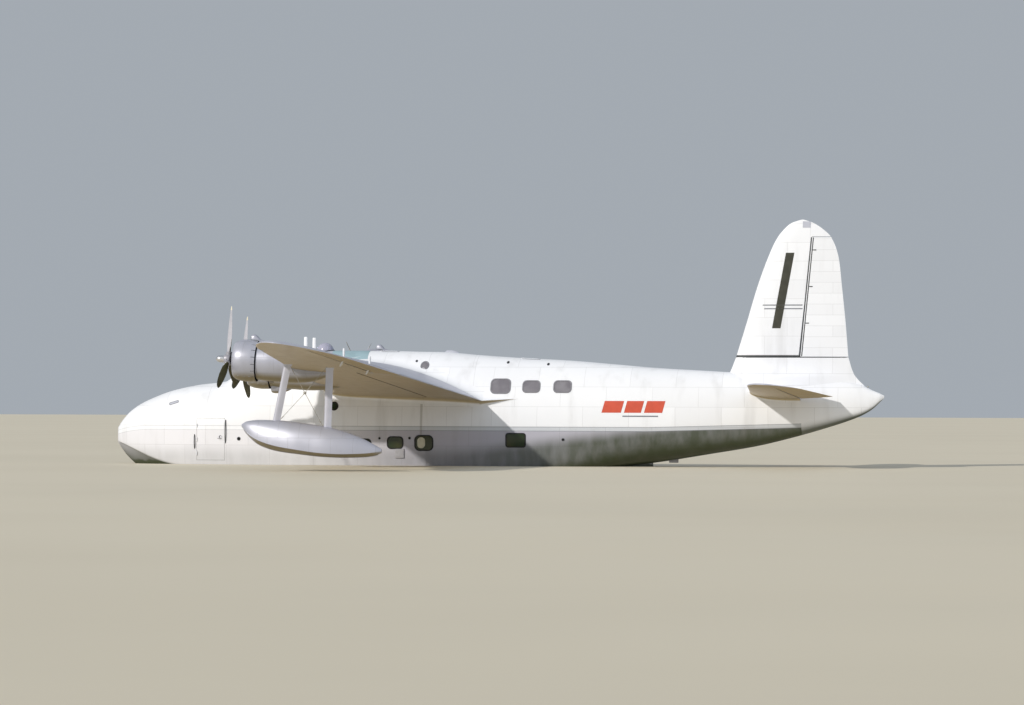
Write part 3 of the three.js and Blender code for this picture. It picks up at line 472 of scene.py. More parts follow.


# Columns: name, roughness, metal, colour, second colour, scale, share of the second, depth. The upper deck's
# blinds are drawn, and the lower deck's panes are dark and greenish: painted shade of the cabin behind them.
PLAIN = [
    ["aluminium_dope_on_struts", 0.38, 0.3, "#c4c5d1", "#b3b4c0", 2.0],
    ["weathered_zinc", 0.7, 0.2, "#a3a3a9", "#86868a", 6.0],
    ["engine_enamel", 0.5, 0.3, "#3b3d3f", "#26241f", 9.0, 0.6, 0.002],
    ["cast_cylinder_fins", 0.55, 0.6, "#56534e", "#2a2723", 14.0],
    ["heat_stained_steel", 0.6, 0.5, "#5d4c40", "#332a25", 7.0, 0.7],
    ["satin_aluminium", 0.45, 0.0, "#bcbcc5", "#adadb7", 5.0],
    # Anti-glare black on the blades' backs, tinted olive as a painted reflection of the water
    ["matt_olive_black_paint", 0.65, 0.0, "#4a4724", "#39371f", 5.0],
    ["grey_hub_enamel", 0.4, 0.2, "#a9a9b2", "#97979f", 8.0],
    ["cream_tip_paint", 0.5, 0.0, "#e2dbc6", "#cfc7b0", 8.0],
    ["polished_aluminium", 0.22, 0.9, "#d8d8dc", "#b1b2b8", 6.0],
    ["streamlined_steel_wire", 0.5, 0.3, "#a5a29b", "#8b8882", 8.0],
    ["machined_steel", 0.4, 0.9, "#8f8f94", "#6a6866", 10.0],
    ["black_rubber", 0.75, 0.0, "#1b1b1c", "#2b2a28", 20.0],
    # Black for painted shade in gaps, holes and open mouths
    ["dark_recess", 0.9, 0.0, "#161616", "#1f1d1a", 6.0],
    ["window_frame_paint", 0.5, 0.0, "#34373a", "#4a4e51", 12.0],
    ["pale_window_frame_paint", 0.5, 0.0, "#7f7f86", "#93939a", 12.0],
    ["crackle_black", 0.6, 0.0, "#141415", "#1e1e20", 60.0],
    ["cabin_grey_green_paint", 0.6, 0.0, "#7f8a7c", "#6f786c", 4.0],
    ["ribbed_deck_mat", 0.85, 0.0, "#33312e", "#26241f", 30.0, 0.5, 0.003],
    ["worn_brown_leather", 0.5, 0.0, "#4a3325", "#2f2018", 9.0, 0.6, 0.003],
    ["cream_curtain_cloth", 0.9, 0.0, "#c9c6b4", "#aaa794", 9.0],
    ["cotton_webbing", 0.9, 0.0, "#8b8468", "#746d54", 25.0],
    ["pale_grey_enamel", 0.45, 0.0, "#b9bcc8", "#a9abb6", 5.0],
    ["red_enamel", 0.4, 0.0, "#d0553c", "#bd4c36", 5.0],
    ["dark_olive_enamel", 0.4, 0.0, "#34342a", "#45453a", 5.0],
    ["grey_enamel", 0.45, 0.0, "#7c7f88", "#6c6f77", 5.0],
    ["walkway_paint", 0.8, 0.0, "#9ab4bd", "#8ba5ad", 3.0, 0.6, 0.002],
    ["dial_marks", 0.5, 0.0, "#d9d7c8", "#c9c7b6", 50.0],
    ["red_lamp_glass", 0.12, 0.0, "#6a1110", "#7d1713", 10.0],
    ["green_lamp_glass", 0.12, 0.0, "#0f6b3a", "#148046", 10.0],
    ["upper_deck_window", 0.1, 0.0, "#77747b", "#8f8d93", 2.0, 0.8],
    ["lower_deck_window", 0.1, 0.0, "#20301a", "#3a3a1d", 1.2, 0.8],
    ["pale_studio_floor", 0.6, 0.0, "#dbd2bd", "#d3cab5", 0.05],
]
for row in PLAIN:
    plain_material(*row)

# Slightly wavy glass and acrylic, the acrylic crazed and milky. Columns: name, colour, roughness, how clear.
CLEAR = [
    ["cockpit_glass", "#dfe9e4", 0.03, 1.0],
    ["crazed_acrylic", "#c6c6da", 0.2, 0.35],
    ["lamp_glass", "#dfe3e8", 0.05, 0.9],
]
for name, colour, rough, share in CLEAR:
    base = {"IOR": 1.45, "Base Color": colour, "Roughness": rough, "Transmission Weight": share}
    tree, shader, place = new_material(name, base)
    waves = add(tree, "TexNoise", {}, {"Vector": place, "Scale": 2.0, "Detail": 1.0})
    bump = add(tree, "Bump", {}, {"Strength": 0.15, "Distance": 0.003, "Height": waves})
    tree.links.new(bump, shader.inputs["Normal"])

# Hull

# Columns in millimetres: station, keel height, chine height, chine half-breadth, height of the widest line,
# its half-breadth, roof height
HULL = 0.001 * np.array([
    [0, 740, 790, 60, 1000, 90, 1220],
    [90, 600, 740, 170, 1010, 230, 1345],
    [260, 360, 680, 320, 1040, 400, 1560],
    [500, 110, 590, 480, 1080, 580, 1800],
    [900, -200, 430, 690, 1120, 800, 2065],
    [1400, -480, 230, 880, 1150, 990, 2290],
    [2000, -740, 50, 1050, 1160, 1150, 2500],
    [2900, -1020, -120, 1220, 1160, 1300, 2690],
    [3960, -1230, -240, 1350, 1150, 1415, 2830],
    [4850, -1340, -310, 1420, 1130, 1480, 3560],
    [5400, -1390, -340, 1450, 1120, 1510, 3790],
    [6200, -1440, -370, 1480, 1100, 1530, 3850],
    [7600, -1500, -400, 1520, 1080, 1550, 3860],
    [9600, -1540, -420, 1545, 1050, 1550, 3850],
    [11200, -1550, -420, 1550, 1030, 1550, 3820],
    [11201, -1330, -420, 1500, 1030, 1550, 3820],
    [12740, -1230, -385, 1360, 1010, 1530, 3710],
    [13900, -1130, -340, 1190, 1000, 1480, 3630],
    [15800, -930, -200, 840, 1060, 1350, 3530],
    [17500, -710, -10, 400, 1220, 1180, 3390],
    [18600, -560, 120, 60, 1370, 1050, 3295],
    [20600, 440, 440, 60, 1600, 830, 3180],
    [22100, 700, 700, 60, 1800, 650, 3090],
    [23400, 1020, 1020, 60, 1950, 500, 3000],
    [24300, 1280, 1280, 50, 2050, 400, 2920],
    [25100, 1540, 1540, 45, 2130, 300, 2830],
    [25550, 1720, 1720, 40, 2170, 220, 2730],
    [25900, 1930, 1930, 30, 2230, 150, 2560],
    [26160, 2170, 2170, 20, 2310, 90, 2450],
    [26290, 2300, 2300, 10, 2335, 35, 2380],
])
WINDSCREEN_STRETCH = (3.96, 5.4)
STEM_ROUND = 0.12  # the stem rounds in over this length
DOOR = {"from": 3.2, "to": 4.2, "bottom": 0.15, "top": 1.55, "thick": 0.06, "gap": 0.008}
LOBBY = {"from": 3.07, "to": 4.35, "bottom": 0.07, "top": 1.64, "inner": -0.455}
DECK = {"from": 4.385, "to": 6.295, "half": 0.925, "floor": 1.985}
SHOULDER = 2.0  # where the forward hull's side grid gives way to its roof's
SILL = 2.93
CANOPY = (4.084, 6.4)
FORWARD = (2.9, 7.6)
HULL_INSIDE = [-3.0, 0, 1.2]


def hull_at(station):
    """Keel, chine, chine half-breadth, widest line, its half-breadth and roof at stations. The windscreen's
    stretch runs straight from row to row, and the stem's breadth rounds in like a quarter circle."""
    station = np.asarray(station, float)
    keel, chine, chine_half, wide, wide_half, roof = columns(HULL, station)
    straight = np.interp(station, HULL[:, 0], HULL[:, 6])
    glazed = (station > WINDSCREEN_STRETCH[0]) & (station < WINDSCREEN_STRETCH[1])
    stem = np.sqrt(1 - (1 - np.clip(station / STEM_ROUND, 0, 1)) ** 2)
    ends = stem * np.sqrt(np.clip((LENGTH - station) / 0.12, 0.04, 1))
    return keel, chine, chine_half * ends, wide, wide_half * ends, np.where(glazed, straight, roof)


def half_breadth(station, height):
    """Hull's half-breadth: a quarter ellipse from chine to widest line, a superellipse over it."""
    _, chine, chine_half, wide, wide_half, roof = hull_at(station)
    low = np.clip((height - chine) / (wide - chine), 0, 1)
    under = chine_half + (wide_half - chine_half) * np.sqrt(1 - (1 - low) ** 2)
    high = np.clip((height - wide) / (roof - wide), 0, 1)
    return np.where(height < wide, under, wide_half * (1 - high**HULL_POWER) ** (1 / HULL_POWER))


def roof_angle(station, height):
    """The superellipse's angle at a height: sin a = ((z - widest) / (roof - widest)) ^ (power / 2)."""
    _, _, _, wide, _, roof = hull_at(station)
    return np.arcsin(np.clip((height - wide) / (roof - wide), 0, 1) ** (HULL_POWER / 2))


def upper_points(station, angle, inset=0.0):
    """Points of the port side over the widest line, at stations and superellipse angles."""
    _, _, _, wide, wide_half, roof = hull_at(station)
    y = (wide_half - inset) * np.cos(angle) ** (2 / HULL_POWER)
    return at(station, -y, wide + (roof - inset - wide) * np.sin(angle) ** (2 / HULL_POWER))


def lower_points(station, angle):
    """Points of the port side from the chine up to the widest line, at stations and ellipse angles."""
    _, chine, chine_half, wide, wide_half, _ = hull_at(station)
    y = chine_half + (wide_half - chine_half) * np.sin(angle)
    return at(station, -y, chine + (wide - chine) * (1 - np.cos(angle)))


def hull_rings(stations, over):
    """Sections of the hull over its chines; over holds shares of the superellipse's quarter."""
    x = np.asarray(stations)[:, None]
    half = np.concatenate([lower_points(x, np.linspace(0, QUARTER, 9)), upper_points(x, over * QUARTER)], 1)
    return whole(half)


def bottom_section(stations):
    """A closed stretch of planing bottom: from the keel each flank rises as its breadth's 1.53rd power,
    so it is hollow and flares down at the chine."""
    x = np.asarray(stations)[:, None]
    keel, chine, chine_half, *_ = hull_at(x)
    share = np.linspace(0, 1, 9)
    half = at(x, -chine_half * share, keel + (chine - keel) * share**1.53)
    return tube(whole(half, slice(None, 0, -1)))


def side_grid(stations, with_door):
    """The forward hull's side, from the chine to the shoulder, on lines of equal height over the door's
    bottom, with the door's opening left out."""
    x = np.asarray(stations)[:, None]
    _, chine, _, wide, _, _ = hull_at(x)
    low, high = DOOR["bottom"] - DOOR["gap"], DOOR["top"] + DOOR["gap"]
    reach = np.arccos(1 - (low - chine) / (wide - chine))
    heights = spread((low, high, 16), (high, SHOULDER, 5))[1:]
    over = at(x, -half_breadth(x, heights), heights)
    p = np.concatenate([lower_points(x, reach * np.linspace(0, 1, 6)), over], 1)
    middle = (x[1:] + x[:-1]) / 2
    column = np.arange(p.shape[1] - 1)
    skip = (middle > DOOR["from"]) & (middle < DOOR["to"]) & (column >= 5) & (column < 5 + 16)
    return sheet(p, HULL_INSIDE, skip if with_door else None)


def roof_grid(stations, top=None):
    """The forward hull's side over the shoulder, up to a height or to the roof's centre."""
    x = np.asarray(stations)[:, None]
    low, high = roof_angle(x, SHOULDER), roof_angle(x, top) if top else QUARTER
    return sheet(upper_points(x, low + (high - low) * np.linspace(0, 1, 22)), HULL_INSIDE)


def end_wall(station):
    """A flat wall across the hull."""
    ring = hull_rings([station], np.linspace(0, 1, 26)[1:])[0]
    return ring, [list(range(len(ring)))]


def deck_sill():
    """The shelf between the flight deck's walls and the canopy's sill, level with the sill."""
    x = spread((CANOPY[0] + 0.004, DECK["from"], 13), (DECK["from"], CANOPY[1], 25))
    outer = half_breadth(x, SILL) - 0.004
    inner = np.minimum(np.where((x >= DECK["from"]) & (x <= DECK["to"]), DECK["half"], 0.0), outer)
    return sheet(at(x[:, None], -np.stack([outer, inner], 1), SILL - 0.002), [-4.5, -1.0, 1.0])


door_stations = spread(
    (FORWARD[0], DOOR["from"] - DOOR["gap"], 4),
    (DOOR["from"] - DOOR["gap"], DOOR["to"] + DOOR["gap"], 16),
    (DOOR["to"] + DOOR["gap"], FORWARD[1], 40),
)
front_stations = np.concatenate([
    np.linspace(FORWARD[0], CANOPY[0], 16),
    CANOPY[0] + (CANOPY[1] - CANOPY[0]) * np.linspace(0, 1, 60)[1:] ** 2,
])
piece("forward_hull_skin", [[
    side_grid(door_stations, True), mirror(side_grid(door_stations, False)),
    *both(roof_grid(front_stations, SILL), roof_grid(np.linspace(CANOPY[1], FORWARD[1], 16))),
    end_wall(FORWARD[0] + 0.002), end_wall(FORWARD[1] - 0.002),
], both(deck_sill())], ["hull_enamel_and_bare_sheet", "cabin_grey_green_paint"],
   "hull_forward", 28)
HULL_SECTIONS = [
    ("bow_fairing", spread((0, STEM_ROUND, 10), (STEM_ROUND, 0.9, 14), (0.9, 2.9, 24))),
    ("hull_centre", spread((7.6, STEP, 22), (STEP, STEP + 0.001, 1), (STEP + 0.001, HULL_JOINT, 10))),
    ("hull_aft", spread((HULL_JOINT, STERN_POST, 44))),
    ("tail_cone", spread((STERN_POST, 25.5, 50), (25.5, LENGTH, 24))),
]
for name, stations in HULL_SECTIONS:
    section = tube(hull_rings(stations, np.linspace(0, 1, 27)[1:] ** 0.9))
    skin(name, [section], "hull_enamel_and_bare_sheet", 28)
BOTTOMS = [("forward", spread((0, 1, 20), (1, STEP, 70))), ("aft", spread((STEP + 0.001, STERN_POST, 60)))]
for name, stations in BOTTOMS:
    bottom = [bottom_section(stations)]
    skin(f"planing_bottom_{name}", bottom, "antifouling_paint_and_bare_sheet", 28)

# Lobby behind the entry door, and the flight deck


def lobby_walls():
    """The lobby's lining: rings of a rectangle, one edge along the hull's inside, open at the door."""
    x = np.linspace(LOBBY["from"], LOBBY["to"], 12)[:, None]
    z = np.linspace(LOBBY["bottom"], LOBBY["top"], 14)
    inner = [at(x, LOBBY["inner"], LOBBY[key]) for key in ("top", "bottom")]
    p, faces = tube(np.concatenate([at(x, 0.07 - half_breadth(x, z), z), *inner], 1))
    kept = []
    for face in faces:
        x, y, z = p[face].mean(0) + [NOSE, 0, 0]
        on_side = len(face) == 4 and abs(y + half_breadth(x, z) - 0.07) < 0.01
        in_door = DOOR["from"] - 0.02 < x < DOOR["to"] + 0.02 and DOOR["bottom"] - 0.02 < z < DOOR["top"]
        if not (on_side and in_door):
            kept.append(face)
    return turned_out((p, kept))


def door_reveal():
    """The thickness of the hull's side round the door: a strip from the skin in to the lining."""
    x0, x1 = DOOR["from"] - DOOR["gap"], DOOR["to"] + DOOR["gap"]
    z0, z1 = DOOR["bottom"] - DOOR["gap"], DOOR["top"] + DOOR["gap"]
    t, still = np.linspace(0, 1, 12), np.ones(12)
    x = np.concatenate([x0 + (x1 - x0) * t, x1 * still, x1 + (x0 - x1) * t, x0 * still])
    z = np.concatenate([z0 * still, z0 + (z1 - z0) * t, z1 * still, z1 + (z0 - z1) * t])
    return tube(at(x, np.array([[0.0], [0.075]]) - half_breadth(x, z), z), False, [-5.9, -1.3, 5.0])


deck_corners = np.array([
    [x - NOSE, y, z] for x in (DECK["from"], DECK["to"]) for y in (-DECK["half"], DECK["half"])
    for z in (DECK["floor"], SILL + 0.001)
])
deck_walls = deck_corners, [[0, 1, 3, 2], [4, 6, 7, 5], [0, 4, 5, 1], [2, 3, 7, 6], [0, 2, 6, 4]]
lobby_mat = block((3.12, 4.3), (-1.16, -0.5), (0.071, 0.085), 0.01)
deck_mat = block((DECK["from"] + 0.02, DECK["to"] - 0.02), (-0.9, 0.9), (1.986, 2.0), 0.006)
LINING = ["cabin_grey_green_paint", "ribbed_deck_mat"]
piece("entry_lobby_lining", [[lobby_walls(), door_reveal()], [lobby_mat]], LINING, crease=30)
piece("flight_deck_lining", [[deck_walls], [deck_mat]], LINING)

# Cockpit canopy and every pane in the hull

CANOPY_WALL = 0.035
# Columns: inner y, outer y, bottom, top
WINDSCREEN = [[0.05, 0.43, 3.05, 3.46], [0.49, 0.83, 3.03, 3.33]]
# Columns: from, to, bottom, top
SIDE_WINDOWS = [[4.96, 5.34, 3.08, 3.46], [5.42, 5.80, 3.08, 3.47], [5.88, 6.24, 3.08, 3.47]]
# Cabin windows. Columns: station, height, width, height of the pane, corner radius.
CABIN_WINDOWS = {
    "upper": [
        [13.66, 2.66, 0.62, 0.46, 0.14], [14.69, 2.65, 0.54, 0.37, 0.12], [15.73, 2.65, 0.55, 0.37, 0.12],
    ],
    "lower": [
        [7.04, 0.78, 0.54, 0.40, 0.12], [8.02, 0.78, 0.54, 0.40, 0.12], [9.03, 0.70, 0.52, 0.34, 0.12],
        [10.14, 0.765, 0.50, 0.37, 0.12], [11.12, 0.76, 0.58, 0.475, 0.15], [14.22, 0.865, 0.62, 0.44, 0.08],
    ],
}
# Portholes, and small vents, drains and eyes. Columns: station, height, radius.
PORTHOLES = {"upper": [[11.01, 3.35, 0.115]], "lower": [[8.02, 1.98, 0.115]]}
SMALL_VENTS = [
    [4.05, 0.93, 0.045], [4.71, 0.87, 0.06], [10.63, 0.92, 0.045], [15.80, 0.89, 0.05], [9.60, 0.91, 0.04],
    [10.70, 3.50, 0.035], [13.79, 3.46, 0.04], [15.15, 3.40, 0.04],
]
WINDOW_PAINTS = {
    "upper": ["upper_deck_window", "pale_window_frame_paint"],
    "lower": ["lower_deck_window", "black_rubber"],
}


def canopy_shell():
    """The canopy's wall: each ring goes over the outside from sill to sill and back along the inside."""
    windscreen = CANOPY[0] + 0.002 + (4.9 - CANOPY[0]) * np.linspace(0, 1, 40) ** 1.6
    x = np.concatenate([windscreen, np.linspace(4.94, CANOPY[1] - 0.003, 34)])[:, None]
    low = roof_angle(x, SILL)
    angle = low + (QUARTER - low) * np.linspace(0, 1, 20)
    outer, inner = upper_points(x, angle), upper_points(x, angle, CANOPY_WALL)
    inner[..., 2] = np.minimum(np.maximum(inner[..., 2], SILL + 0.001), outer[..., 2] - 0.0005)
    return tube(np.concatenate([whole(outer), whole(inner)[:, ::-1]], 1))


def screen_station(y, z):
    """The windscreen's station at a breadth and height: the first whose half-breadth there reaches it."""
    x = np.linspace(3.97, 5.6, 700)
    reach = half_breadth(x[:, None], np.ravel(z))
    return x[np.argmax(reach >= np.abs(np.ravel(y)), axis=0)].reshape(np.shape(z))


def side_place(side):
    """A function that lays outlines of (station, height) on the hull of one side, this far out from it."""
    return lambda o, out: at(o[..., 0], side * (half_breadth(o[..., 0], o[..., 1]) + out), o[..., 1])


def screen_place(side):
    """A function that lays outlines of (breadth, height) on the windscreen."""
    return lambda o, out: at(screen_station(o[..., 0], o[..., 1]) - out, side * o[..., 0], o[..., 1])


def pane(outline, centre, place, out, thick):
    """A closed pane that follows a surface: rings from its centre out to its rim, over it and back."""
    rings = centre + (outline - centre) * np.array([0.0, 0.4, 0.8, 1.0])[:, None, None]
    return tube(np.concatenate([place(rings, out), place(rings[::-1], out - thick)]), caps=False)


def bead(outline, place, out, radius):
    """A closed round bead along an outline on a surface."""
    return rod(place(outline, out), radius, 6, closed=True)


def border(outline, centre, place, width, out, thick):
    """A flat frame round an outline: a rectangle's four corners carried round it."""
    away = outline - centre
    wider = outline + width * away / np.linalg.norm(away, axis=1, keepdims=True)
    rings = [place(outline, out - thick), place(outline, out), place(wider, out), place(wider, out - thick)]
    return ring_tube(np.stack(rings))


def round_outline(centre, radius, count=6):
    return rounded_outline(2 * radius, 2 * radius, radius * 0.999, count) + centre


cutters, panes, seals = [], [], []
for side in SIDES.values():
    for table, place, depth, out in (
        (SIDE_WINDOWS, side_place(side), 0.012, 0.0), (WINDSCREEN, screen_place(side), 0.014, 0.002),
    ):
        for a0, a1, z0, z1 in table:
            centre = np.array([(a0 + a1) / 2, (z0 + z1) / 2])
            outline = rounded_outline(a1 - a0, z1 - z0, 0.05) + centre
            a, z = outline.T
            if table is WINDSCREEN:
                ends = [at(station, side * a, z) for station in (3.9, 4.93)]
            else:
                ends = [at(a, side * breadth, z) for breadth in (0.45, 1.7)]
            cutters.append(tube(np.stack(ends)))
            panes.append(pane(centre + (outline - centre) * 1.03, centre, place, -depth, 0.008))
            seals.append(bead(outline, place, out, 0.014))
canopy = piece("cockpit_canopy_shell", [canopy_shell()], "chalked_white_enamel",
               "cockpit_canopy", 26)
cutter = piece("cutter", cutters, "dark_recess")
modifier = canopy.modifiers.new("cut", "BOOLEAN")
modifier.object = cutter
modifier.operation = "DIFFERENCE"
modifier.solver = "MANIFOLD"
bpy.context.view_layer.update()
evaluated = canopy.evaluated_get(bpy.context.evaluated_depsgraph_get())
canopy_mesh = bpy.data.meshes.new_from_object(evaluated)
canopy.modifiers.clear()
canopy.data = canopy_mesh
bpy.data.objects.remove(cutter)
canopy_mesh.polygons.foreach_set("use_smooth", [True] * len(canopy_mesh.polygons))
canopy_mesh.set_sharp_from_angle(angle=math.radians(26))
piece("cockpit_window_panes", panes, "cockpit_glass")
piece("cockpit_window_seals", seals, "window_frame_paint")

for deck, table in CABIN_WINDOWS.items():
    shapes = [(np.array(row[:2]), rounded_outline(*row[2:], 7) + row[:2]) for row in table]
    shapes += [(np.array([x, z]), round_outline([x, z], r)) for x, z, r in PORTHOLES[deck]]
    panes, frames, reflection_spots = [], [], []
    for place in map(side_place, SIDES.values()):
        for centre, outline in shapes:
            panes.append(pane(outline, centre, place, 0.006, 0.03))
            frames += [border(outline, centre, place, 0.035, 0.011, 0.03), bead(outline, place, 0.01, 0.011)]
        # A cream oval in one lower pane on each side: a painted reflection on the glass
        if deck == "lower":
            reflection_centre = np.array([11.03, 0.765])
            oval = rounded_outline(0.26, 0.36, 0.12, 7) + reflection_centre
            reflection_spots.append(pane(oval, reflection_centre, place, 0.009, 0.004))
    glass, frame_paint = WINDOW_PAINTS[deck]
    piece(f"{deck}_deck_window_panes", [panes, reflection_spots], [glass, "cream_curtain_cloth"])
    piece(f"{deck}_deck_window_frames", frames, frame_paint)

# A pressed slot in the bow, tilted up towards its rear end
SLOT = {"centre": np.array([2.28, 2.08]), "long": 0.34, "high": 0.075, "tilt": math.radians(16)}
slot_turn = turn_about("z", -SLOT["tilt"])[:2, :2]
slot_outline = rounded_outline(SLOT["long"], SLOT["high"], 0.036) @ slot_turn + SLOT["centre"]
vents, beads, slots = [], [], []
for place in map(side_place, SIDES.values()):
    for *centre, radius in SMALL_VENTS:
        outline = round_outline(centre, radius, 4)
        # Each vent is a shallow pan in black, painted shade for its dark hole
        vents.append(pane(outline, np.array(centre), place, 0.003, 0.02))
        beads.append(bead(outline, place, 0.003, 0.008))
    slots.append(pane(slot_outline, SLOT["centre"], place, 0.004, 0.03))
    beads.append(bead(slot_outline, place, 0.004, 0.01))
piece("hull_vents_and_drains", [vents, beads, slots], ["dark_recess", "grey_enamel", "pale_grey_enamel"])

# Entry door


def door_leaf():
    """The door: its outer face follows the hull, its inner face lies 60 mm in, joined round the rim."""
    x = np.linspace(DOOR["from"], DOOR["to"], 17)[:, None]
    z = np.linspace(DOOR["bottom"], DOOR["top"], 25)
    outer, inner = [at(x, inset - half_breadth(x, z), z) for inset in (0.0, DOOR["thick"])]
    edge = tube(np.stack([rim(outer), rim(inner)]), False, [3.7 - NOSE, -1.34, 0.85])
    return [sheet(outer, [-5.9, 0, 0.85]), sheet(inner[::-1], [-5.9, -3, 0.85]), edge]


door_lay = side_place(-1)
door_centre = np.array([3.7, 0.85])
handle = np.array([4.08, 0.88])
plate = pane(rounded_outline(0.09, 0.17, 0.03, 4) + handle, handle, door_lay, 0.005, 0.008)
seal = bead(rounded_outline(0.94, 1.34, 0.06, 4) + door_centre, door_lay, -DOOR["thick"] - 0.004, 0.012)
# Grips outside and inside, each a path of distances forward from the plate's middle and out from the skin
grips = [
    rod(door_lay(handle - [[ahead, 0] for ahead, _ in path], np.array([out for _, out in path])), 0.011, 8)
    for path in (
        [(0, 0.004), (0, 0.03), (0.01, 0.042), (0.12, 0.042)],
        [(0, -0.058), (0, -0.09), (0.01, -0.1), (0.13, -0.1)],
    )
]
# Stiffeners pressed into the inner face
stiffeners = []
for height in (0.4, 0.62, 1.1, 1.32):
    line = np.stack([np.linspace(3.3, 4.1, 9), np.full(9, height)], 1)
    stiffeners.append(rod(door_lay(line, -0.062), 0.014, 6))
piece("entry_door_leaf", [[*door_leaf(), plate], [seal], grips, stiffeners],
      ["hull_enamel_and_bare_sheet", "black_rubber", "machined_steel", "cabin_grey_green_paint"],
      "entry_door", 30, "entry_door")
door_seam = bead(rounded_outline(1.008, 1.408, 0.01, 2) + door_centre, door_lay, -0.002, 0.0035)
hinges = [rod(at(3.2, -1.3615, [z, z + 0.12]), 0.014) for z in (0.32, 0.79, 1.26)]
piece("entry_door_seam", [[door_seam], hinges], ["black_rubber", "chalked_white_enamel"])

# Airfoils. A surface is a function of span, share of the chord, and whether it is the upper side.

COUNT = 26
GAP = 0.008
INCIDENCE = math.radians(6.15)
WING_SIDE, ROUND_FROM, WING_TIP = 1.5, 14.2, 17.17
TAIL_ROUND_FROM, TAIL_TIP = 4.2, 5.4
TAIL_PIVOT = 23.2  # the tailplane tilts about this station, its leading edge up
TAIL_INCIDENCE = math.radians(3.5)
# Fin and rudder outline. Columns: height, leading station, trailing station, thickness ratio.
FIN = np.array([
    [3.640, 21.380, 25.110, 0.110],
    [4.750, 21.720, 25.020, 0.108],
    [6.020, 22.100, 24.890, 0.104],
    [6.900, 22.420, 24.790, 0.100],
    [7.590, 22.740, 24.550, 0.095],
    [7.900, 22.990, 24.240, 0.090],
    [8.100, 23.230, 23.930, 0.085],
    [8.200, 23.440, 23.740, 0.080],
])
FIN_TOP = 8.2
FIN_CLOSE = 8.06
# Columns: height, leading station, trailing station, thickness ratio
FIN_FAIRING = np.array([[2.60, 20.70, 25.74, 0.10], [3.10, 21.15, 25.29, 0.105], [3.64, 21.38, 25.11, 0.11]])


def section_height(share, thickness, camber, up):
    """Height of an airfoil's side as a ratio of its chord: four-digit thickness on a parabolic mean line."""
    x = np.asarray(share, float)
    half = 5 * thickness * (0.2969 * np.sqrt(x) - 0.126 * x - 0.3516 * x**2 + 0.2843 * x**3 - 0.1036 * x**4)
    peak = 0.4
    ahead = camber / peak**2 * (2 * peak * x - x**2)
    behind = camber / (1 - peak) ** 2 * (1 - 2 * peak + 2 * peak * x - x**2)
    return np.where(x < peak, ahead, behind) + np.where(up, half, -half)


def rounding(span, start, end):
    """Share of the straight chord left at a tip that rounds off like an ellipse."""
    return np.sqrt(1 - np.clip((span - start) / (end - start), 0, 1) ** 2)


def wing_point(span, share, up):
    """Point of the port wing's skin at a span and a share of the chord."""
    out = span - WING_SIDE
    leading_line = 7.54 + 0.109 * out
    trailing_line = 13.09 - 0.111 * out
    full = rounding(span, ROUND_FROM, WING_TIP)
    leading = leading_line + 0.45 * (trailing_line - leading_line) * (1 - full)
    chord = (trailing_line - leading_line) * full
    height = 2.164 + 0.0957 * out + math.tan(INCIDENCE) * (trailing_line - leading - share * chord)
    outer = np.clip(out / (ROUND_FROM - WING_SIDE), 0, 1)
    z = height + chord * section_height(share, 0.205 - 0.11 * outer, 0.06 - 0.018 * outer, up)
    return at(leading + share * chord, -span, z)


def tailplane_point(span, share, up):
    """Point of the port tailplane's skin."""
    leading_line = 21.85 + 0.11 * span
    straight = 24.78 - 0.165 * span - leading_line
    full = rounding(span, TAIL_ROUND_FROM, TAIL_TIP)
    chord = straight * full
    station = leading_line + 0.42 * straight * (1 - full) + share * chord
    middle = 2.4 + 0.051 * span + math.tan(TAIL_INCIDENCE) * (TAIL_PIVOT - station)
    return at(station, -span, middle + chord * section_height(share, 0.13 - 0.03 * span / 5.45, 0.0, up))


def fin_point(height, share, up):
    """Point of the fin's skin at a height. Its top closes over like a quarter circle."""
    leading, trailing, thickness = columns(FIN, height)
    chord = (trailing - leading) * rounding(height, FIN_CLOSE, FIN_TOP)
    y = chord * section_height(share, thickness, 0.0, up)
    return at((leading + trailing - chord) / 2 + share * chord, y, height)


def fairing_point(height, share, up):
    """Point of the fin's root fairing, which spreads out along the hull's top like a hollow fillet."""
    leading, trailing, thickness = columns(FIN_FAIRING, height)
    chord = trailing - leading
    low = np.clip((3.64 - height) / 0.62, 0, 1)
    widen = 1 + 0.9 * low**3 * np.where(share < 0.9, 1, (1 - share) * 10)
    return at(leading + share * chord, chord * section_height(share, thickness, 0.0, up) * widen, height)


def shares_to(end):
    """Shares from the leading edge to an end that differs from ring to ring."""
    return np.asarray(end)[:, None] * np.linspace(0, 1, COUNT) ** 1.7


def chord_at(surface, span):
    """Leading edge station and chord of a surface."""
    x0, x1 = (surface(np.asarray(span, float), share, True)[..., 0] for share in (0.0, 1.0))
    return x0 + NOSE, x1 - x0


def straight_hinge(surface, ends, stations):
    """A hinge line straight in space, through stations at its ends, as a function that gives its share."""
    def share(spans):
        leading, chord = chord_at(surface, spans)
        along = (spans - ends[0]) / (ends[1] - ends[0])
        return (stations[0] + along * (stations[1] - stations[0]) - leading) / chord
    return share


def section(surface, spans):
    """Closed sections: over the top from the trailing edge forward, and back underneath."""
    s, share = spans[:, None], shares_to(np.ones(1))
    return tube(np.concatenate([surface(s, share[:, ::-1], True), surface(s, share[:, 1:-1], False)], 1))


def hinge_values(surface, spans, share):
    """Middle of the section at a share, its half thickness, and the way forward along the chord."""
    top, bottom = surface(spans, share, True), surface(spans, share, False)
    ahead = (surface(spans, share * 0.98, True) + surface(spans, share * 0.98, False)) / 2
    centre = (top + bottom) / 2
    forward = (ahead - centre) / np.linalg.norm(ahead - centre, axis=-1, keepdims=True)
    return centre, (top - bottom) / 2, forward


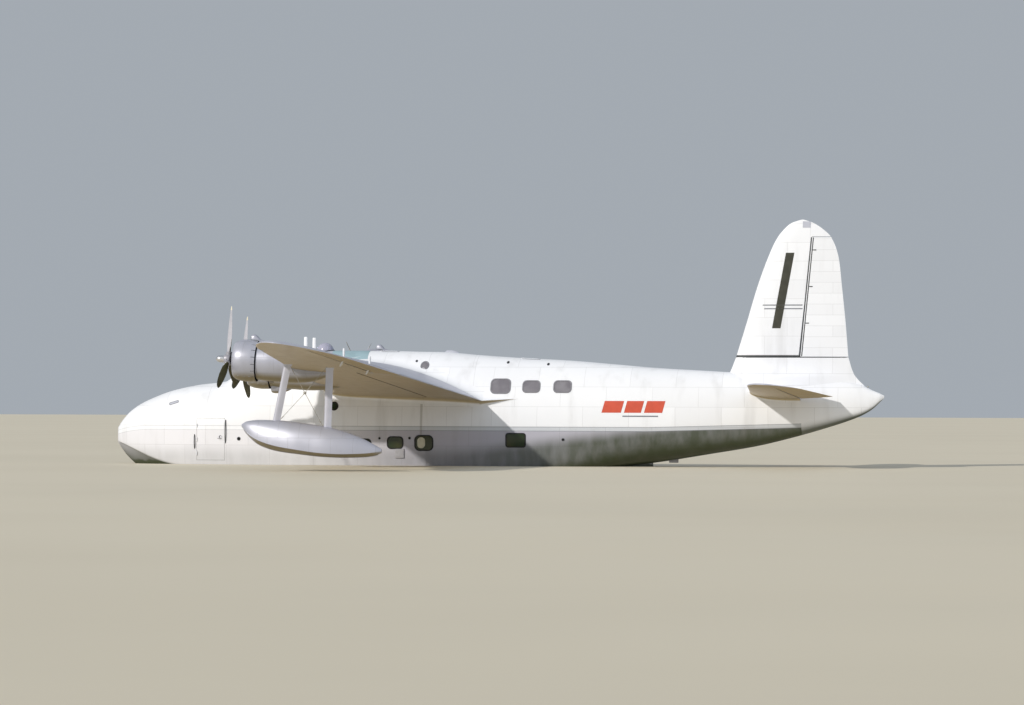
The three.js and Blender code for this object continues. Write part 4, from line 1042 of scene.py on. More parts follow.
def nose_arc(values, depth, degrees, peak=1.0):
    """An arc round the hinge line: depth ahead of it, and up and down by the half thickness."""
    centre, half, forward = values
    a = np.radians(degrees)[1:-1]
    ahead = (depth[:, None] * np.cos(a))[..., None] * forward[:, None]
    return centre[:, None] + ahead + (np.sin(a) / peak)[:, None] * half[:, None]


def fixed(surface, spans, hinge_line):
    """Sections ahead of a control surface: the skins stop over its round nose, and a hollow faces it."""
    hinge = hinge_line(spans)
    values = hinge_values(surface, spans, hinge)
    depth = np.linalg.norm(values[1], axis=1) + GAP
    chord = np.linalg.norm(surface(spans, 1.0, True) - surface(spans, 0.0, True), axis=1)
    share = shares_to(hinge - depth / 2 / np.maximum(chord, 0.01))
    s = spans[:, None]
    hollow = nose_arc(values, depth, np.linspace(-60, 60, 11), math.sin(np.pi / 3))
    upper, lower = surface(s, share[:, ::-1], True), surface(s, share[:, 1:], False)
    return tube(np.concatenate([upper, lower, hollow], 1))


def moving(surface, spans, hinge_line):
    """Sections of a control surface: a half-round nose on the hinge line, then to the trailing edge."""
    hinge = hinge_line(spans)
    values = hinge_values(surface, spans, hinge)
    nose = nose_arc(values, 0.94 * np.linalg.norm(values[1], axis=1), np.linspace(90, -90, 13))
    s, share = spans[:, None], hinge[:, None] + (1 - hinge[:, None]) * np.linspace(0, 1, 15)
    upper, lower = surface(s, share[:, ::-1], True), surface(s, share[:, :-1], False)
    return tube(np.concatenate([upper, nose, lower], 1))


def tip_spans(start, end, count):
    """Spans out to a tip, closer together towards it."""
    return end - (end - start) * np.linspace(1, 0, count) ** 2


# Wing. The flap's upper side is an arc about a line under the wing, with axes at the inner end of its
# trailing edge. Running out, the flap moves by its slant outboard to one aft, so its outer end slants.

AILERON_ENDS, AILERON_CHORDS = (9.45, 15.7), (0.91, 0.56)
END_GAP = 0.014  # at the ailerons' ends, which swing a little along the span
FLAP_ENDS = (1.9, 9.23)
FLAP_CHORD, FLAP_BULGE = 1.45, 0.11
FLAP_RADIUS = ((FLAP_CHORD / 2) ** 2 + FLAP_BULGE**2) / (2 * FLAP_BULGE)
FLAP_CENTRE = np.array([-FLAP_CHORD / 2, FLAP_BULGE - FLAP_RADIUS])
FLAP_REACH = 1.79  # the furthest the flap reaches ahead of the trailing edge
FLAP_SLANT = 0.111
FLAP_END_GAP = 0.03
flap_from, flap_to = (wing_point(end, 1.0, True) for end in FLAP_ENDS)
flap_along = (flap_to - flap_from) / np.linalg.norm(flap_to - flap_from)
chord_aft = np.array([math.cos(INCIDENCE), 0, -math.sin(INCIDENCE)])
flap_back = chord_aft - chord_aft @ flap_along * flap_along
flap_back /= np.linalg.norm(flap_back)
flap_up = np.cross(flap_along, flap_back)
aileron_stations = [sum(chord_at(wing_point, s)) - depth for s, depth in zip(AILERON_ENDS, AILERON_CHORDS)]
aileron_hinge = straight_hinge(wing_point, AILERON_ENDS, aileron_stations)


def arc_height(x, span, grow):
    """Height at which the flap's arc passes x at a span: the upper root of
    (u - u0)^2 + (v - v0)^2 = R^2, with u and v linear in the height."""
    base = points(x, -span, 0.0) - flap_from
    u, v = base @ flap_back - FLAP_CENTRE[0], base @ flap_up - FLAP_CENTRE[1]
    a, b = flap_back[2] ** 2 + flap_up[2] ** 2, 2 * (u * flap_back[2] + v * flap_up[2])
    c = u**2 + v**2 - (FLAP_RADIUS + grow) ** 2
    return (-b + np.sqrt(np.maximum(b * b - 4 * a * c, 0))) / (2 * a)


def arc_share(spans, grow, start, end, up, sink=0.0):
    """The first of the shares from start to end where the flap's arc is over a skin less a little."""
    share = np.linspace(start, end, 400)
    p = wing_point(spans[:, None], share, up)
    return share[np.argmax(arc_height(p[..., 0], spans[:, None], grow) > p[..., 2] - sink, axis=1)]


def flap_front(spans, grow):
    """Share of the chord where the arc comes down through the lower skin, or the flap's furthest reach, or
    its slanting outer end."""
    _, chord = chord_at(wing_point, spans)
    limit = 1 - (FLAP_REACH + grow) / chord * math.cos(INCIDENCE)
    end = FLAP_ENDS[1] + (grow if grow else -FLAP_END_GAP)
    slant = 1 - np.maximum(end - spans, 0) / FLAP_SLANT / chord
    return np.maximum(np.maximum(arc_share(spans, grow, 0.5, 0.97, False), limit), slant)


def flap_zone(spans):
    """Wing sections over the flap: a skin on top that ends where the arc comes up through it, and
    underneath a hollow along the arc."""
    rear = arc_share(spans, GAP, 0.75, 1.0, True, 0.002)
    front = np.minimum(flap_front(spans, GAP), rear - 0.005)
    s = spans[:, None]
    back = front[:, None] + (rear - front)[:, None] * np.linspace(0, 1, 22)[:-1]
    hollow = wing_point(s, back, False)
    top = wing_point(s, back, True)[..., 2] - 0.002
    hollow[..., 2] = np.clip(arc_height(hollow[..., 0], s, GAP), hollow[..., 2], top)
    upper = wing_point(s, shares_to(rear)[:, ::-1], True)
    lower = wing_point(s, shares_to(front)[:, 1:], False)
    return tube(np.concatenate([upper, lower, hollow], 1))


def flap_body(spans):
    """Flap sections: back along the arc to the trailing edge, and forward along the lower skin."""
    front = np.minimum(flap_front(spans, 0.0), 0.995)[:, None]
    share = front + (1 - front) * np.linspace(0, 1, 24)
    low, top = wing_point(spans[:, None], share, False), wing_point(spans[:, None], share, True)
    over = low.copy()
    over[..., 2] = np.clip(arc_height(low[..., 0], spans[:, None], 0.0), low[..., 2], top[..., 2])
    return tube(np.concatenate([over[:, ::-1], low[:, 1:-1]], 1))


def fillet(surface, spans, radius_up, radius_low, inside, reach=1.0):
    """A hollow fillet where an airfoil meets the hull: round the section, each strip runs from the skin
    of the airfoil in to their meeting line and out to the hull's side, along a parabola."""
    shares = reach * np.linspace(0, 1, 34) ** 1.7
    share = np.concatenate([shares[::-1], shares[1:]])
    up = np.arange(len(share)) < len(shares)
    p = surface(spans[:, None], share, up)
    out = -p[..., 1] - half_breadth(p[..., 0] + NOSE, p[..., 2])
    k = np.argmax(out > 0, axis=0)
    column = np.arange(len(share))
    t = out[k - 1, column] / (out[k - 1, column] - out[k, column])
    meet_span = spans[k - 1] + t * (spans[k] - spans[k - 1])
    meet = surface(meet_span, share, up)
    tangent = np.gradient(meet, axis=0)
    away = np.stack([-tangent[:, 2], np.zeros(len(share)), tangent[:, 0]], -1)
    outward = np.sign((away * (meet - meet.mean(0))).sum(1, keepdims=True))
    away *= outward / np.linalg.norm(away, axis=1, keepdims=True)
    radius = np.where(up, radius_up, radius_low) * (0.55 + 0.45 * np.sqrt(share))
    wing_foot = surface(meet_span + radius, share, up) + away * 0.003
    up_the_side = meet + away * radius[:, None]
    hull_foot = side_place(-1)(up_the_side[:, ::2] + [NOSE, 0], 0.003)
    b = np.linspace(0, 1, 9)[:, None, None]
    return sheet((1 - b) ** 2 * wing_foot + 2 * b * (1 - b) * meet + b**2 * hull_foot, inside)


def fillet_tail():
    """The fillet behind the wing: a ridge on the hull's side that runs out to a point. Both its flanks are
    hollow, out = ridge (1 - sqrt s)^2 at a share s of their height."""
    t, s = np.linspace(0, 1, 26)[:, None], np.linspace(-1, 1, 33)
    flank = np.where(s > 0, 0.30, 0.22) * (1 - t) + 0.012
    place = np.stack([13.0 + 1.25 * t + 0 * s, 2.165 + 0.075 * t + s * flank], -1)
    out = 0.30 * (1 - t) ** 1.2 * (1 - np.sqrt(np.abs(s))) ** 2 + 0.003
    return sheet(side_place(-1)(place, out), [4.0, -1.2, 2.2])


a0, a1 = AILERON_ENDS[0] - END_GAP, AILERON_ENDS[1] + END_GAP
f0, f1 = FLAP_ENDS[0] - GAP, FLAP_ENDS[1] + GAP
port_wing = [
    section(wing_point, spread((0.7, f0, 6))), flap_zone(spread((f0, 9.0, 24), (9.0, f1, 14))),
    section(wing_point, spread((f1, a0, 2))), fixed(wing_point, spread((a0, a1, 24)), aileron_hinge),
    section(wing_point, tip_spans(a1, WING_TIP, 26)),
]
port_flap = flap_body(spread((FLAP_ENDS[0], 9.0, 26), (9.0, FLAP_ENDS[1] - FLAP_END_GAP, 14)))
port_aileron = moving(wing_point, spread((*AILERON_ENDS, 24)), aileron_hinge)
fillets = [fillet(wing_point, np.linspace(0.5, 2.2, 240), 0.30, 0.22, [0.4, -1.2, 2.75]), fillet_tail()]
# Painted shade under the wing: a dark strip along the lip that the flap closes against, for the shade in its
# gap
lip = np.linspace(f0 + 0.05, 9.0, 60)
flap_gap_shade = rod(wing_point(lip, flap_front(lip, GAP) - 0.005, False), 0.009, 8)
# Mass balance posts of the ailerons, over and under them, from a foot behind the hinge line
posts = []
for span in (10.3, 12.75):
    centre, _, forward = hinge_values(wing_point, np.array([span]), aileron_hinge(np.array([span])))
    foot = centre[0] - forward[0] * 0.16
    for end, radii in (
        ([0, 0, 0.33], [0.03, 0.032, 0.034, 0.037, 0.038, 0.03]),
        ([-0.11, 0, -0.23], [0.026, 0.028, 0.03, 0.034, 0.038, 0.03]),
    ):
        posts.append(rod(np.linspace(foot, foot + end, 6), radii, 14))
for name, side in SIDES.items():
    skin(f"wing_{name}", [sided(side, port_wing), sided(side, [flap_gap_shade])],
         ["aluminium_dope_on_sheet", "dark_recess"])
    skin(f"flap_{name}", sided(side, [port_flap]), "aluminium_dope_on_sheet",
         body=f"flap_{name}")
    piece(f"wing_root_fillet_{name}", sided(side, fillets), "chalked_white_enamel")
    skin(f"aileron_{name}", [sided(side, [port_aileron]), sided(side, posts)],
         ["doped_fabric", "chalked_white_enamel"], body=f"aileron_{name}")

# Tail

ELEVATOR_ENDS = (0.62, 4.85)
elevator_hinge = straight_hinge(tailplane_point, ELEVATOR_ENDS, (23.64, 23.33))
e0, e1 = ELEVATOR_ENDS[0] - 0.04, ELEVATOR_ENDS[1] + GAP
port_tailplane = [
    fixed(tailplane_point, spread((0.25, e0, 4), (e0, e1, 22)), elevator_hinge),
    section(tailplane_point, tip_spans(e1, TAIL_TIP, 16)),
]
port_elevator = moving(tailplane_point, spread((*ELEVATOR_ENDS, 22)), elevator_hinge)
tail_fillet = fillet(tailplane_point, np.linspace(0.25, 1.4, 160), 0.16, 0.14, [13.4, -0.5, 2.45], 0.60)
for name, side in SIDES.items():
    skin(f"tailplane_{name}", sided(side, port_tailplane), "aluminium_dope_on_sheet")
    skin(f"elevator_{name}", sided(side, [port_elevator]), "doped_fabric",
         body=f"elevator_{name}")
    piece(f"tailplane_root_fillet_{name}", sided(side, [tail_fillet]), "chalked_white_enamel")

RUDDER_BOTTOM, RUDDER_TOP, FIN_CAP = 3.665, 7.61, 7.636
rudder_hinge = straight_hinge(fin_point, (3.64, 7.65), (23.56, 23.94))
skin("fin", [
    fixed(fin_point, spread((3.655, FIN_CAP, 26)), rudder_hinge),
    section(fin_point, tip_spans(FIN_CAP, FIN_TOP, 22)),
], "chalked_white_enamel")


def bar_grid(x0, x1, z0, z1, lean):
    """A bar as a grid of places, leaning aft by a length from foot to top, closer together at its front."""
    across, up = np.meshgrid(np.linspace(0, 1, 33) ** 1.7, np.linspace(0, 1, 13), indexing="ij")
    return np.stack([x0 + (x1 - x0) * across + lean * up, z0 + (z1 - z0) * up], -1)


def fin_place(side):
    """A function that lays places of (station, height) on one side of the fin."""
    def place(o, out):
        z = np.ravel(o[..., 1])
        leading, chord = chord_at(fin_point, z)
        share = np.clip((np.ravel(o[..., 0]) - leading) / chord, 0.001, 0.999)
        return fin_point(z, share, True).reshape(*o.shape[:-1], 3) * [1, side, 1] + [0, side * out, 0]
    return place


def painted(bar, place, out):
    """A bar's sheet on a surface, facing away from the middle plane."""
    laid = place(bar_grid(*bar), out)
    return sheet(laid, laid.mean((0, 1)) * [1, 0, 1])


# The rudder carries its half of the dark band along the hinge, and hinge straps
HINGE_BAND = (23.565, 23.598, 3.68, 7.60, 0.372)
rudder_marks = [painted(HINGE_BAND, fin_place(side), 0.004) for side in SIDES.values()]
for height in (4.77, 5.98, 7.19):
    place = np.array([height])
    share = rudder_hinge(place)
    half = float(np.abs(fin_point(place, share, True)[0, 1]))
    x = float(hinge_values(fin_point, place, share)[0][0, 0])
    for side in SIDES.values():
        low = [x + 0.02, side * (half - 0.02), height - 0.014]
        rudder_marks.append(rounded_box(low, [x + 0.15, side * (half + 0.006), height + 0.014], 0.004))
rudder_body = moving(fin_point, spread((RUDDER_BOTTOM, RUDDER_TOP, 26)), rudder_hinge)
skin("rudder", [[rudder_body], rudder_marks], ["white_doped_fabric", "window_frame_paint"],
     body="rudder")
fin_root = section(fairing_point, spread((2.7, 3.0, 4), (3.0, 3.64, 14)))
skin("fin_fairing", [fin_root], "chalked_white_enamel")
# A dark strip round the fin's foot: painted shade in its joint with the fairing
share = np.linspace(0, 1, 30)
foot = np.float64(3.648)
seam = np.concatenate([fin_point(foot, share[::-1], True), fin_point(foot, share[1:-1], False)])
seam *= [1, 1.012, 1]
piece("fin_fairing_seam", [tube(np.stack([seam + [0, 0, dz] for dz in (-0.020, 0.002)]))], "dark_recess")

# Engines

# Columns: name, span, station of the propeller, height of the hub, nacelle stretch, angle of the
# propeller in degrees, oil cooler under the nacelle
ENGINES = [
    ["outer_left", -8.5, 6.43, 3.440, 1.0, 2, False],
    ["inner_left", -4.2, 5.70, 3.238, 1.18, 354, True],
    ["inner_right", 4.2, 5.70, 3.238, 1.18, 60, True],
    ["outer_right", 8.5, 6.43, 3.440, 1.0, 60, False],
]
TOE_OUT, THRUST_TILT = math.radians(4.25), math.radians(3.5)
# Columns: x behind the propeller, centre height, half-width, height over and under the centre
NACELLE = np.array([
    [0.895, 0, 0.585, 0.585, 0.585],
    [1.35, 0, 0.615, 0.615, 0.615],
    [1.90, -0.010, 0.600, 0.595, 0.610],
    [2.40, -0.045, 0.520, 0.470, 0.540],
    [2.80, -0.100, 0.390, 0.300, 0.390],
    [3.20, -0.170, 0.170, 0.100, 0.150],
])
# Intake over the nacelle and oil cooler under it. Columns: x, half-width, foot, crown.
INTAKE = np.array([
    [0.601, 0.060, 0.682, 0.758],
    [0.640, 0.108, 0.682, 0.832],
    [0.720, 0.123, 0.682, 0.843],
    [0.820, 0.118, 0.682, 0.788],
    [0.885, 0.103, 0.680, 0.718],
    [0.910, 0.098, 0.540, 0.703],
    [1.150, 0.078, 0.480, 0.638],
    [1.500, 0.048, 0.400, 0.588],
])
COOLER = np.array([
    [0.908, 0.150, -0.430, -0.690],
    [0.928, 0.200, -0.420, -0.753],
    [1.04, 0.223, -0.400, -0.783],
    [1.23, 0.203, -0.400, -0.768],
    [1.45, 0.130, -0.400, -0.690],
    [1.62, 0.040, -0.420, -0.600],
])
# Profiles of (x, radius)
COWL_OUTSIDE = [
    (0.161, 0.492), (0.138, 0.502), (0.125, 0.514), (0.120, 0.526), (0.123, 0.541), (0.136, 0.557),
    (0.154, 0.573), (0.182, 0.592), (0.222, 0.612), (0.267, 0.629), (0.323, 0.645), (0.379, 0.655),
    (0.436, 0.662), (0.515, 0.667), (0.605, 0.669), (0.695, 0.666), (0.746, 0.662),
]
COWL_INSIDE = [(0.746, 0.622), (0.515, 0.620), (0.323, 0.616), (0.267, 0.596), (0.222, 0.560), (0.188, 0.520)]
CRANKCASE = [
    (-0.01, 0.0), (-0.01, 0.07), (0.01, 0.1), (0.08, 0.125), (0.18, 0.165), (0.23, 0.2), (0.26, 0.245),
    (0.29, 0.265), (0.56, 0.27), (0.6, 0.29), (0.884, 0.29), (0.884, 0.0),
]
DOME = [
    (-0.480, 0.0), (-0.479, 0.022), (-0.473, 0.045), (-0.460, 0.066), (-0.440, 0.084), (-0.412, 0.098),
    (-0.375, 0.108), (-0.330, 0.113), (-0.280, 0.115), (-0.220, 0.116),
]
BARREL = [
    (-0.222, 0.124), (-0.215, 0.138), (-0.198, 0.150), (-0.175, 0.158), (-0.13, 0.164), (-0.05, 0.164),
    (-0.028, 0.155), (-0.018, 0.13), (-0.018, 0.0),
]
# Propeller blade. Columns: radius, chord, thickness, pitch in degrees.
BLADE = np.array([
    [0.10, 0.110, 0.110, 55],
    [0.27, 0.130, 0.100, 53],
    [0.40, 0.175, 0.074, 50.5],
    [0.60, 0.228, 0.052, 46],
    [0.90, 0.255, 0.038, 39],
    [1.35, 0.225, 0.022, 31],
    [1.54, 0.175, 0.014, 28.7],
    [1.64, 0.115, 0.010, 27.6],
    [1.678, 0.060, 0.007, 27.2],
    [1.690, 0.014, 0.004, 27],
])
BLADE_PLANE = -0.08  # ahead of the engine's own datum
GILLS = 18


def upright(profile, count):
    """A closed bar turned round the Z axis: rings of (height, radius)."""
    z, r = np.asarray(profile, float).T[..., None]
    a = around(count)
    return tube(points(r * np.cos(a), r * np.sin(a), z))


def hoop(x, radius, thick, count):
    """A round ring about the X axis."""
    a = around(40)
    return rod(points(x, radius * np.sin(a), radius * np.cos(a)), thick, count, closed=True)


def nacelle_body(stretch):
    x = spread((0.895, 1.35, 8), (1.35, 3.20, 34))
    centre, half, over, under = columns(NACELLE, x)[..., None]
    along = np.where(x > 1.35, 1.35 + (x - 1.35) * stretch, x)[:, None]
    a = around(64)
    return tube(points(along, half * np.sin(a), centre + np.cos(a) * np.where(np.cos(a) > 0, over, under)))


def fairing_rings(table):
    """Rings of an arched section: a flat foot and a crown like half an ellipse."""
    x = spread((table[0, 0], table[-1, 0], 24))
    half, foot, crown = columns(table, x)[..., None]
    a = np.linspace(0, np.pi, 16)
    return points(x[:, None], -half * np.cos(a), foot + (crown - foot) * np.sin(a) ** 0.55)


def cowling_parts():
    """The cowling's shell with its panels' latches, and gills of overlapping plates round its rear edge."""
    parts = [ring_tube(turned(COWL_OUTSIDE + COWL_INSIDE, 96))]
    x, outer = np.array([0.742, 0.805, 0.869])[:, None], np.array([0.6635, 0.657, 0.650])[:, None]
    for k in range(GILLS):
        a = np.linspace(k + 0.03, k + 0.97, 7) / GILLS * 2 * np.pi
        top, low = [points(x + 0 * a, r * np.sin(a), r * np.cos(a)) for r in (outer, outer - 0.006)]
        parts.append(tube(np.concatenate([top, low[:, ::-1]], 1)))
    for angle in (40, 140, 220, 320):
        for x in (0.35, 0.54, 0.70):
            radius = np.interp(x, *zip(*COWL_OUTSIDE))
            latch = rounded_box([x - 0.03, -0.012, radius - 0.004], [x + 0.03, 0.012, radius + 0.005], 0.003)
            parts.append(moved(latch, turn_about("x", -math.radians(angle))))
    return parts


def engine_parts():
    """Two rows of seven cylinders round a crankcase, with rocker boxes, push rods and wiring. A cylinder's
    fins are a square wave on its radius. The lists: enamel, cylinders, bare steel, collector."""
    baffle = ring_tube(turned([(0.592, 0.27), (0.592, 0.6215), (0.604, 0.6215), (0.604, 0.27)], 64))
    bodies, cylinders, steel = [tube(turned(CRANKCASE, 36)), baffle], [], []
    fins = [(0.24, 0.07)]
    for k, height in enumerate(np.linspace(0.25, 0.52, 17)):
        radius = 0.088 if k % 2 else 0.066
        fins += [(height, radius), (height + 0.0085, radius)]
    barrel = upright(fins + [(0.545, 0.095), (0.56, 0.1), (0.585, 0.092), (0.6, 0.06)], 14)
    for k in range(14):
        turn = turn_about("x", -(k / 14) * 2 * np.pi)
        x = 0.505 if k % 2 else 0.365
        cylinders.append(moved(moved(barrel, np.eye(3), (x, 0, 0)), turn))
        for y in (0.045, -0.045):
            box = rounded_box([x - 0.085, y - 0.03, 0.52], [x - 0.03, y + 0.03, 0.592], 0.012, 2)
            bodies.append(moved(box, turn))
            if k % 2 == 0:
                steel.append(moved(rod([[0.262, y * 0.7, 0.235], [x - 0.06, y, 0.53]], 0.009, 6), turn))
    steel.append(hoop(0.262, 0.205, 0.014, 8))
    return [bodies, cylinders, steel, [hoop(0.70, 0.45, 0.05, 10)]]


def propeller_parts():
    """A right-hand propeller: blade sections with a thickness fuller to the leading edge, on a chord bowed
    ahead, turned by the pitch. The lists: blades, dome, hub, tips."""
    radius = np.concatenate([np.linspace(0.1, 1.54, 40), 1.69 - 0.15 * np.linspace(1, 0, 14)[1:] ** 2])
    chord, thick, pitch = columns(BLADE, radius)[..., None]
    a = around(22)
    flatten = np.clip((radius - 0.27) / 0.3, 0, 1)[:, None]
    across = chord / 2 * np.cos(a)
    through = thick / 2 * np.sin(a) * (1 + 0.25 * flatten * np.cos(a) - 0.35 * flatten * np.sin(a))
    lean = -np.radians(pitch)
    x, y = across * np.sin(lean) + through * np.cos(lean), across * np.cos(lean) - through * np.sin(lean)
    rings = points(x, y, radius[:, None])
    blade, tip = tube(rings[:41]), tube(rings[40:])
    clamp = upright([(0.11, 0.088), (0.2, 0.088), (0.205, 0.096), (0.235, 0.096), (0.24, 0.08)], 24)
    bolts = [rounded_box([x - 0.012, 0.08, 0.14], [x + 0.012, 0.1, 0.164], 0.004, 1) for x in (-0.045, 0.045)]
    parts = [[], [tube(turned(DOME, 40))], [tube(turned(BARREL, 48))], []]
    for k in range(3):
        turn = turn_about("x", k / 3 * 2 * np.pi)
        for number, group in ((0, [blade]), (2, [clamp, *bolts]), (3, [tip])):
            parts[number] += [moved(part, turn, (BLADE_PLANE, 0, 0)) for part in group]
    return parts


def paint_backs(propeller, aft):
    """Paints the blades' backs, the faces of their metal and tips that look aft, in anti-glare black tinted
    olive by a painted reflection of the water.
    """
    faces = propeller.data.polygons
    normals, numbers = np.empty(len(faces) * 3), np.empty(len(faces), np.int32)
    faces.foreach_get("normal", normals)
    faces.foreach_get("material_index", numbers)
    back = np.isin(numbers, (0, 3)) & (normals.reshape(-1, 3) @ aft > 0.1)
    faces.foreach_set("material_index", np.where(back, 4, numbers))


def shrunk(ring, share):
    """A ring drawn in towards its middle."""
    middle = ring.mean(1, keepdims=True)
    return middle + (ring - middle) * share


# A dark ring under the gills: painted shade in the gap between cowling and nacelle
gill_shade_ring = ring_tube(turned([(0.74, 0.634), (0.868, 0.634), (0.868, 0.624), (0.74, 0.624)], 96))
cowling = [cowling_parts(), [gill_shade_ring]]
engine = engine_parts()
propeller_body = propeller_parts()
for name, span, station, height, stretch, phase, cooled in ENGINES:
    side = -1 if span < 0 else 1
    rotation = turn_about("z", -side * TOE_OUT) @ turn_about("y", THRUST_TILT)
    shift = np.array([station - NOSE, span, height])

    def placed(groups):
        return [[moved(part, rotation, shift) for part in group] for group in groups]

    # Dark discs of painted shade close the intake's mouth, the cooler's face and the exhaust's end
    mouth = fairing_rings(INTAKE)[:1]
    mouth = np.concatenate([mouth, shrunk(mouth, 0.82)]) - [0.004, 0, 0]
    bodies = [nacelle_body(stretch), tube(fairing_rings(INTAKE))]
    shade_discs = [tube(mouth + np.array([[[0, 0, 0]], [[0.002, 0, 0]]]))]
    if cooled:
        face = fairing_rings(COOLER)[:1]
        bodies.append(tube(fairing_rings(COOLER)))
        shade_discs.append(tube(np.concatenate([shrunk(face, 0.86) - [0.006, 0, 0], shrunk(face, 0.84)])))
    # Exhaust pipe low on the nacelle's inboard side, its open end shut by a dark disc of painted shade
    low = math.radians(152 if side < 0 else 208)
    x = np.array([0.84, 0.95, 1.05, 1.15, 1.26, 1.36])
    r = np.array([0.50, 0.57, 0.615, 0.64, 0.655, 0.665])
    path = points(x, r * math.sin(low), r * math.cos(low))
    shade_discs.append(rod(path[-1:] + [[0.001, 0, 0], [0.004, 0, 0]], 0.045, 16))
    skin(f"nacelle_{name}", placed([bodies, shade_discs, [rod(path, 0.055, 16)]]),
         ["aluminium_dope_on_sides", "dark_recess", "heat_stained_steel"])
    skin(f"cowling_{name}", placed(cowling), ["aluminium_dope_on_sides", "dark_recess"], 40)
    piece(f"engine_{name}_body", placed(engine),
          ["engine_enamel", "cast_cylinder_fins", "machined_steel", "heat_stained_steel"],
          f"engine_{name}")
    spin = turn_about("x", math.radians(phase))
    spun = placed([[moved(part, spin) for part in group] for group in propeller_body])
    paints = ["satin_aluminium", "polished_aluminium", "grey_hub_enamel", "cream_tip_paint"]
    paints.append("matt_olive_black_paint")
    propeller = piece(f"propeller_{name}_body", [*spun, []], paints,
                      f"propeller_{name}", 40, f"propeller_{name}")
    paint_backs(propeller, rotation[:, 0])

# Wing floats

FLOAT_SPAN = 12.9
# Columns: station, keel height, chine height, half-breadth, deck height
FLOAT = np.array([
    [8.03, 1.330, 1.365, 0.025, 1.410],
    [8.20, 1.110, 1.200, 0.180, 1.500],
    [8.60, 0.780, 0.950, 0.340, 1.545],
    [9.20, 0.600, 0.765, 0.450, 1.530],
    [9.90, 0.510, 0.650, 0.500, 1.460],
    [10.60, 0.440, 0.560, 0.490, 1.360],
    [11.20, 0.420, 0.530, 0.430, 1.220],
    [11.70, 0.430, 0.540, 0.320, 1.040],
    [12.15, 0.470, 0.570, 0.170, 0.820],
    [12.40, 0.560, 0.610, 0.040, 0.680],
])
STRUT_CHORD, STRUT_THICK = 0.232, 0.085
# Float struts. Columns: name, foot's station and height, top's station and height.
FLOAT_STRUTS = [["front", 9.07, 1.43, 9.43, 3.23], ["rear", 10.68, 1.26, 10.74, 3.13]]
# Bracing wires: where they meet, and the other ends' stations and heights
CROSSING = at(10.005, -FLOAT_SPAN, 2.364)
WIRE_ENDS = [[9.53, 3.20], [10.60, 1.30], [10.68, 3.14], [9.13, 1.44]]
ACORN = [(-0.05, 0), (-0.046, 0.016), (-0.03, 0.032), (0, 0.038), (0.03, 0.032), (0.046, 0.016), (0.05, 0)]


def float_rings():
    """Float sections: a vee up to the chine, slightly hollow, and an arched deck over it."""
    x = spread((8.03, 8.2, 8), (8.2, 8.6, 8), (8.6, 12.4, 54))
    keel, chine, half, deck = columns(FLOAT, x)[..., None]
    share = np.linspace(0, 1, 8)[:-1]
    vee = at(x[:, None], -half * share, keel + (chine - keel) * share**1.3)
    a = np.linspace(0, QUARTER, 14)
    arch = at(x[:, None], -half * np.cos(a) ** 0.8, chine + (deck - chine) * np.sin(a))
    port = np.concatenate([vee, arch], 1)
    return np.concatenate([port, port[:, -2:0:-1] * [1, -1, 1]], 1) - [0, FLOAT_SPAN, 0]


def strut(foot_x, foot_z, top_x, top_z):
    """A streamlined strut: a symmetrical airfoil lying level, carried up a path, fuller at its ends."""
    share = np.linspace(0, 1, 14) ** 1.7
    half = section_height(share, STRUT_THICK / STRUT_CHORD, 0.0, True)
    x = np.concatenate([share[::-1], share[1:-1]]) - 0.35
    y = np.concatenate([half[::-1], -half[1:-1]])
    grow = STRUT_CHORD * (1 + 0.2 * np.abs(np.linspace(-1, 1, 61)) ** 24)[:, None]
    path = np.linspace(at(foot_x, -FLOAT_SPAN, foot_z), at(top_x, -FLOAT_SPAN, top_z), 61)
    return tube(path[:, None] + points(x * grow, y * grow, 0.0))


def wire(start, end):
    """A bracing wire with a fork end and a turnbuckle near its lower end."""
    t = np.array([0, 0.02, 0.021, 0.06, 0.061, 0.10, 0.16, 0.161, 0.24, 0.241, 0.5, 0.9, 0.94, 0.941, 1.0])
    r = 0.0075 * np.array([1.8, 1.8, 1.4, 1.4, 1, 1, 1, 1.9, 1.9, 1, 1, 1, 1, 1.8, 1.8])
    return rod(start + t[:, None] * (end - start), r, 8)


float_parts = [tube(float_rings())]
x = np.linspace(8.25, 12.1, 50)
_, chine, half, _ = columns(FLOAT, x)
for sign in (-1, 1):
    float_parts.append(rod(at(x, -FLOAT_SPAN + sign * (half + 0.004), chine), 0.010, 6))
x = np.linspace(8.1, 12.3, 60)
float_parts.append(rod(at(x, -FLOAT_SPAN, columns(FLOAT, x)[0] - 0.004), 0.012, 6))
bracing = [moved(tube(turned(ACORN, 16)), np.eye(3), CROSSING)]
bracing += [wire(at(x, -FLOAT_SPAN, z), CROSSING) for x, z in WIRE_ENDS]
for name, side in SIDES.items():
    skin(f"float_{name}", sided(side, float_parts), "aluminium_dope_on_sides", 24)
    for strut_name, *ends in FLOAT_STRUTS:
        skin(f"float_strut_{strut_name}_{name}", sided(side, [strut(*ends)]),
             "aluminium_dope_on_struts")
    piece(f"float_bracing_{name}_wires", sided(side, bracing), "streamlined_steel_wire",
          f"float_bracing_{name}")

# Roof fittings

DOME_X, DOME_RADIUS = 7.33, 0.292


def roof_place(outline, out):
    """An outline of (station, breadth) laid on the hull's top, its superellipse solved for its height."""
    x, y = outline[..., 0], outline[..., 1]
    _, _, _, wide, wide_half, roof = hull_at(x)
    share = np.clip(np.abs(y) / wide_half, 0, 1)
    return at(x, y, wide + (roof - wide) * (1 - share**HULL_POWER) ** (1 / HULL_POWER) + out)


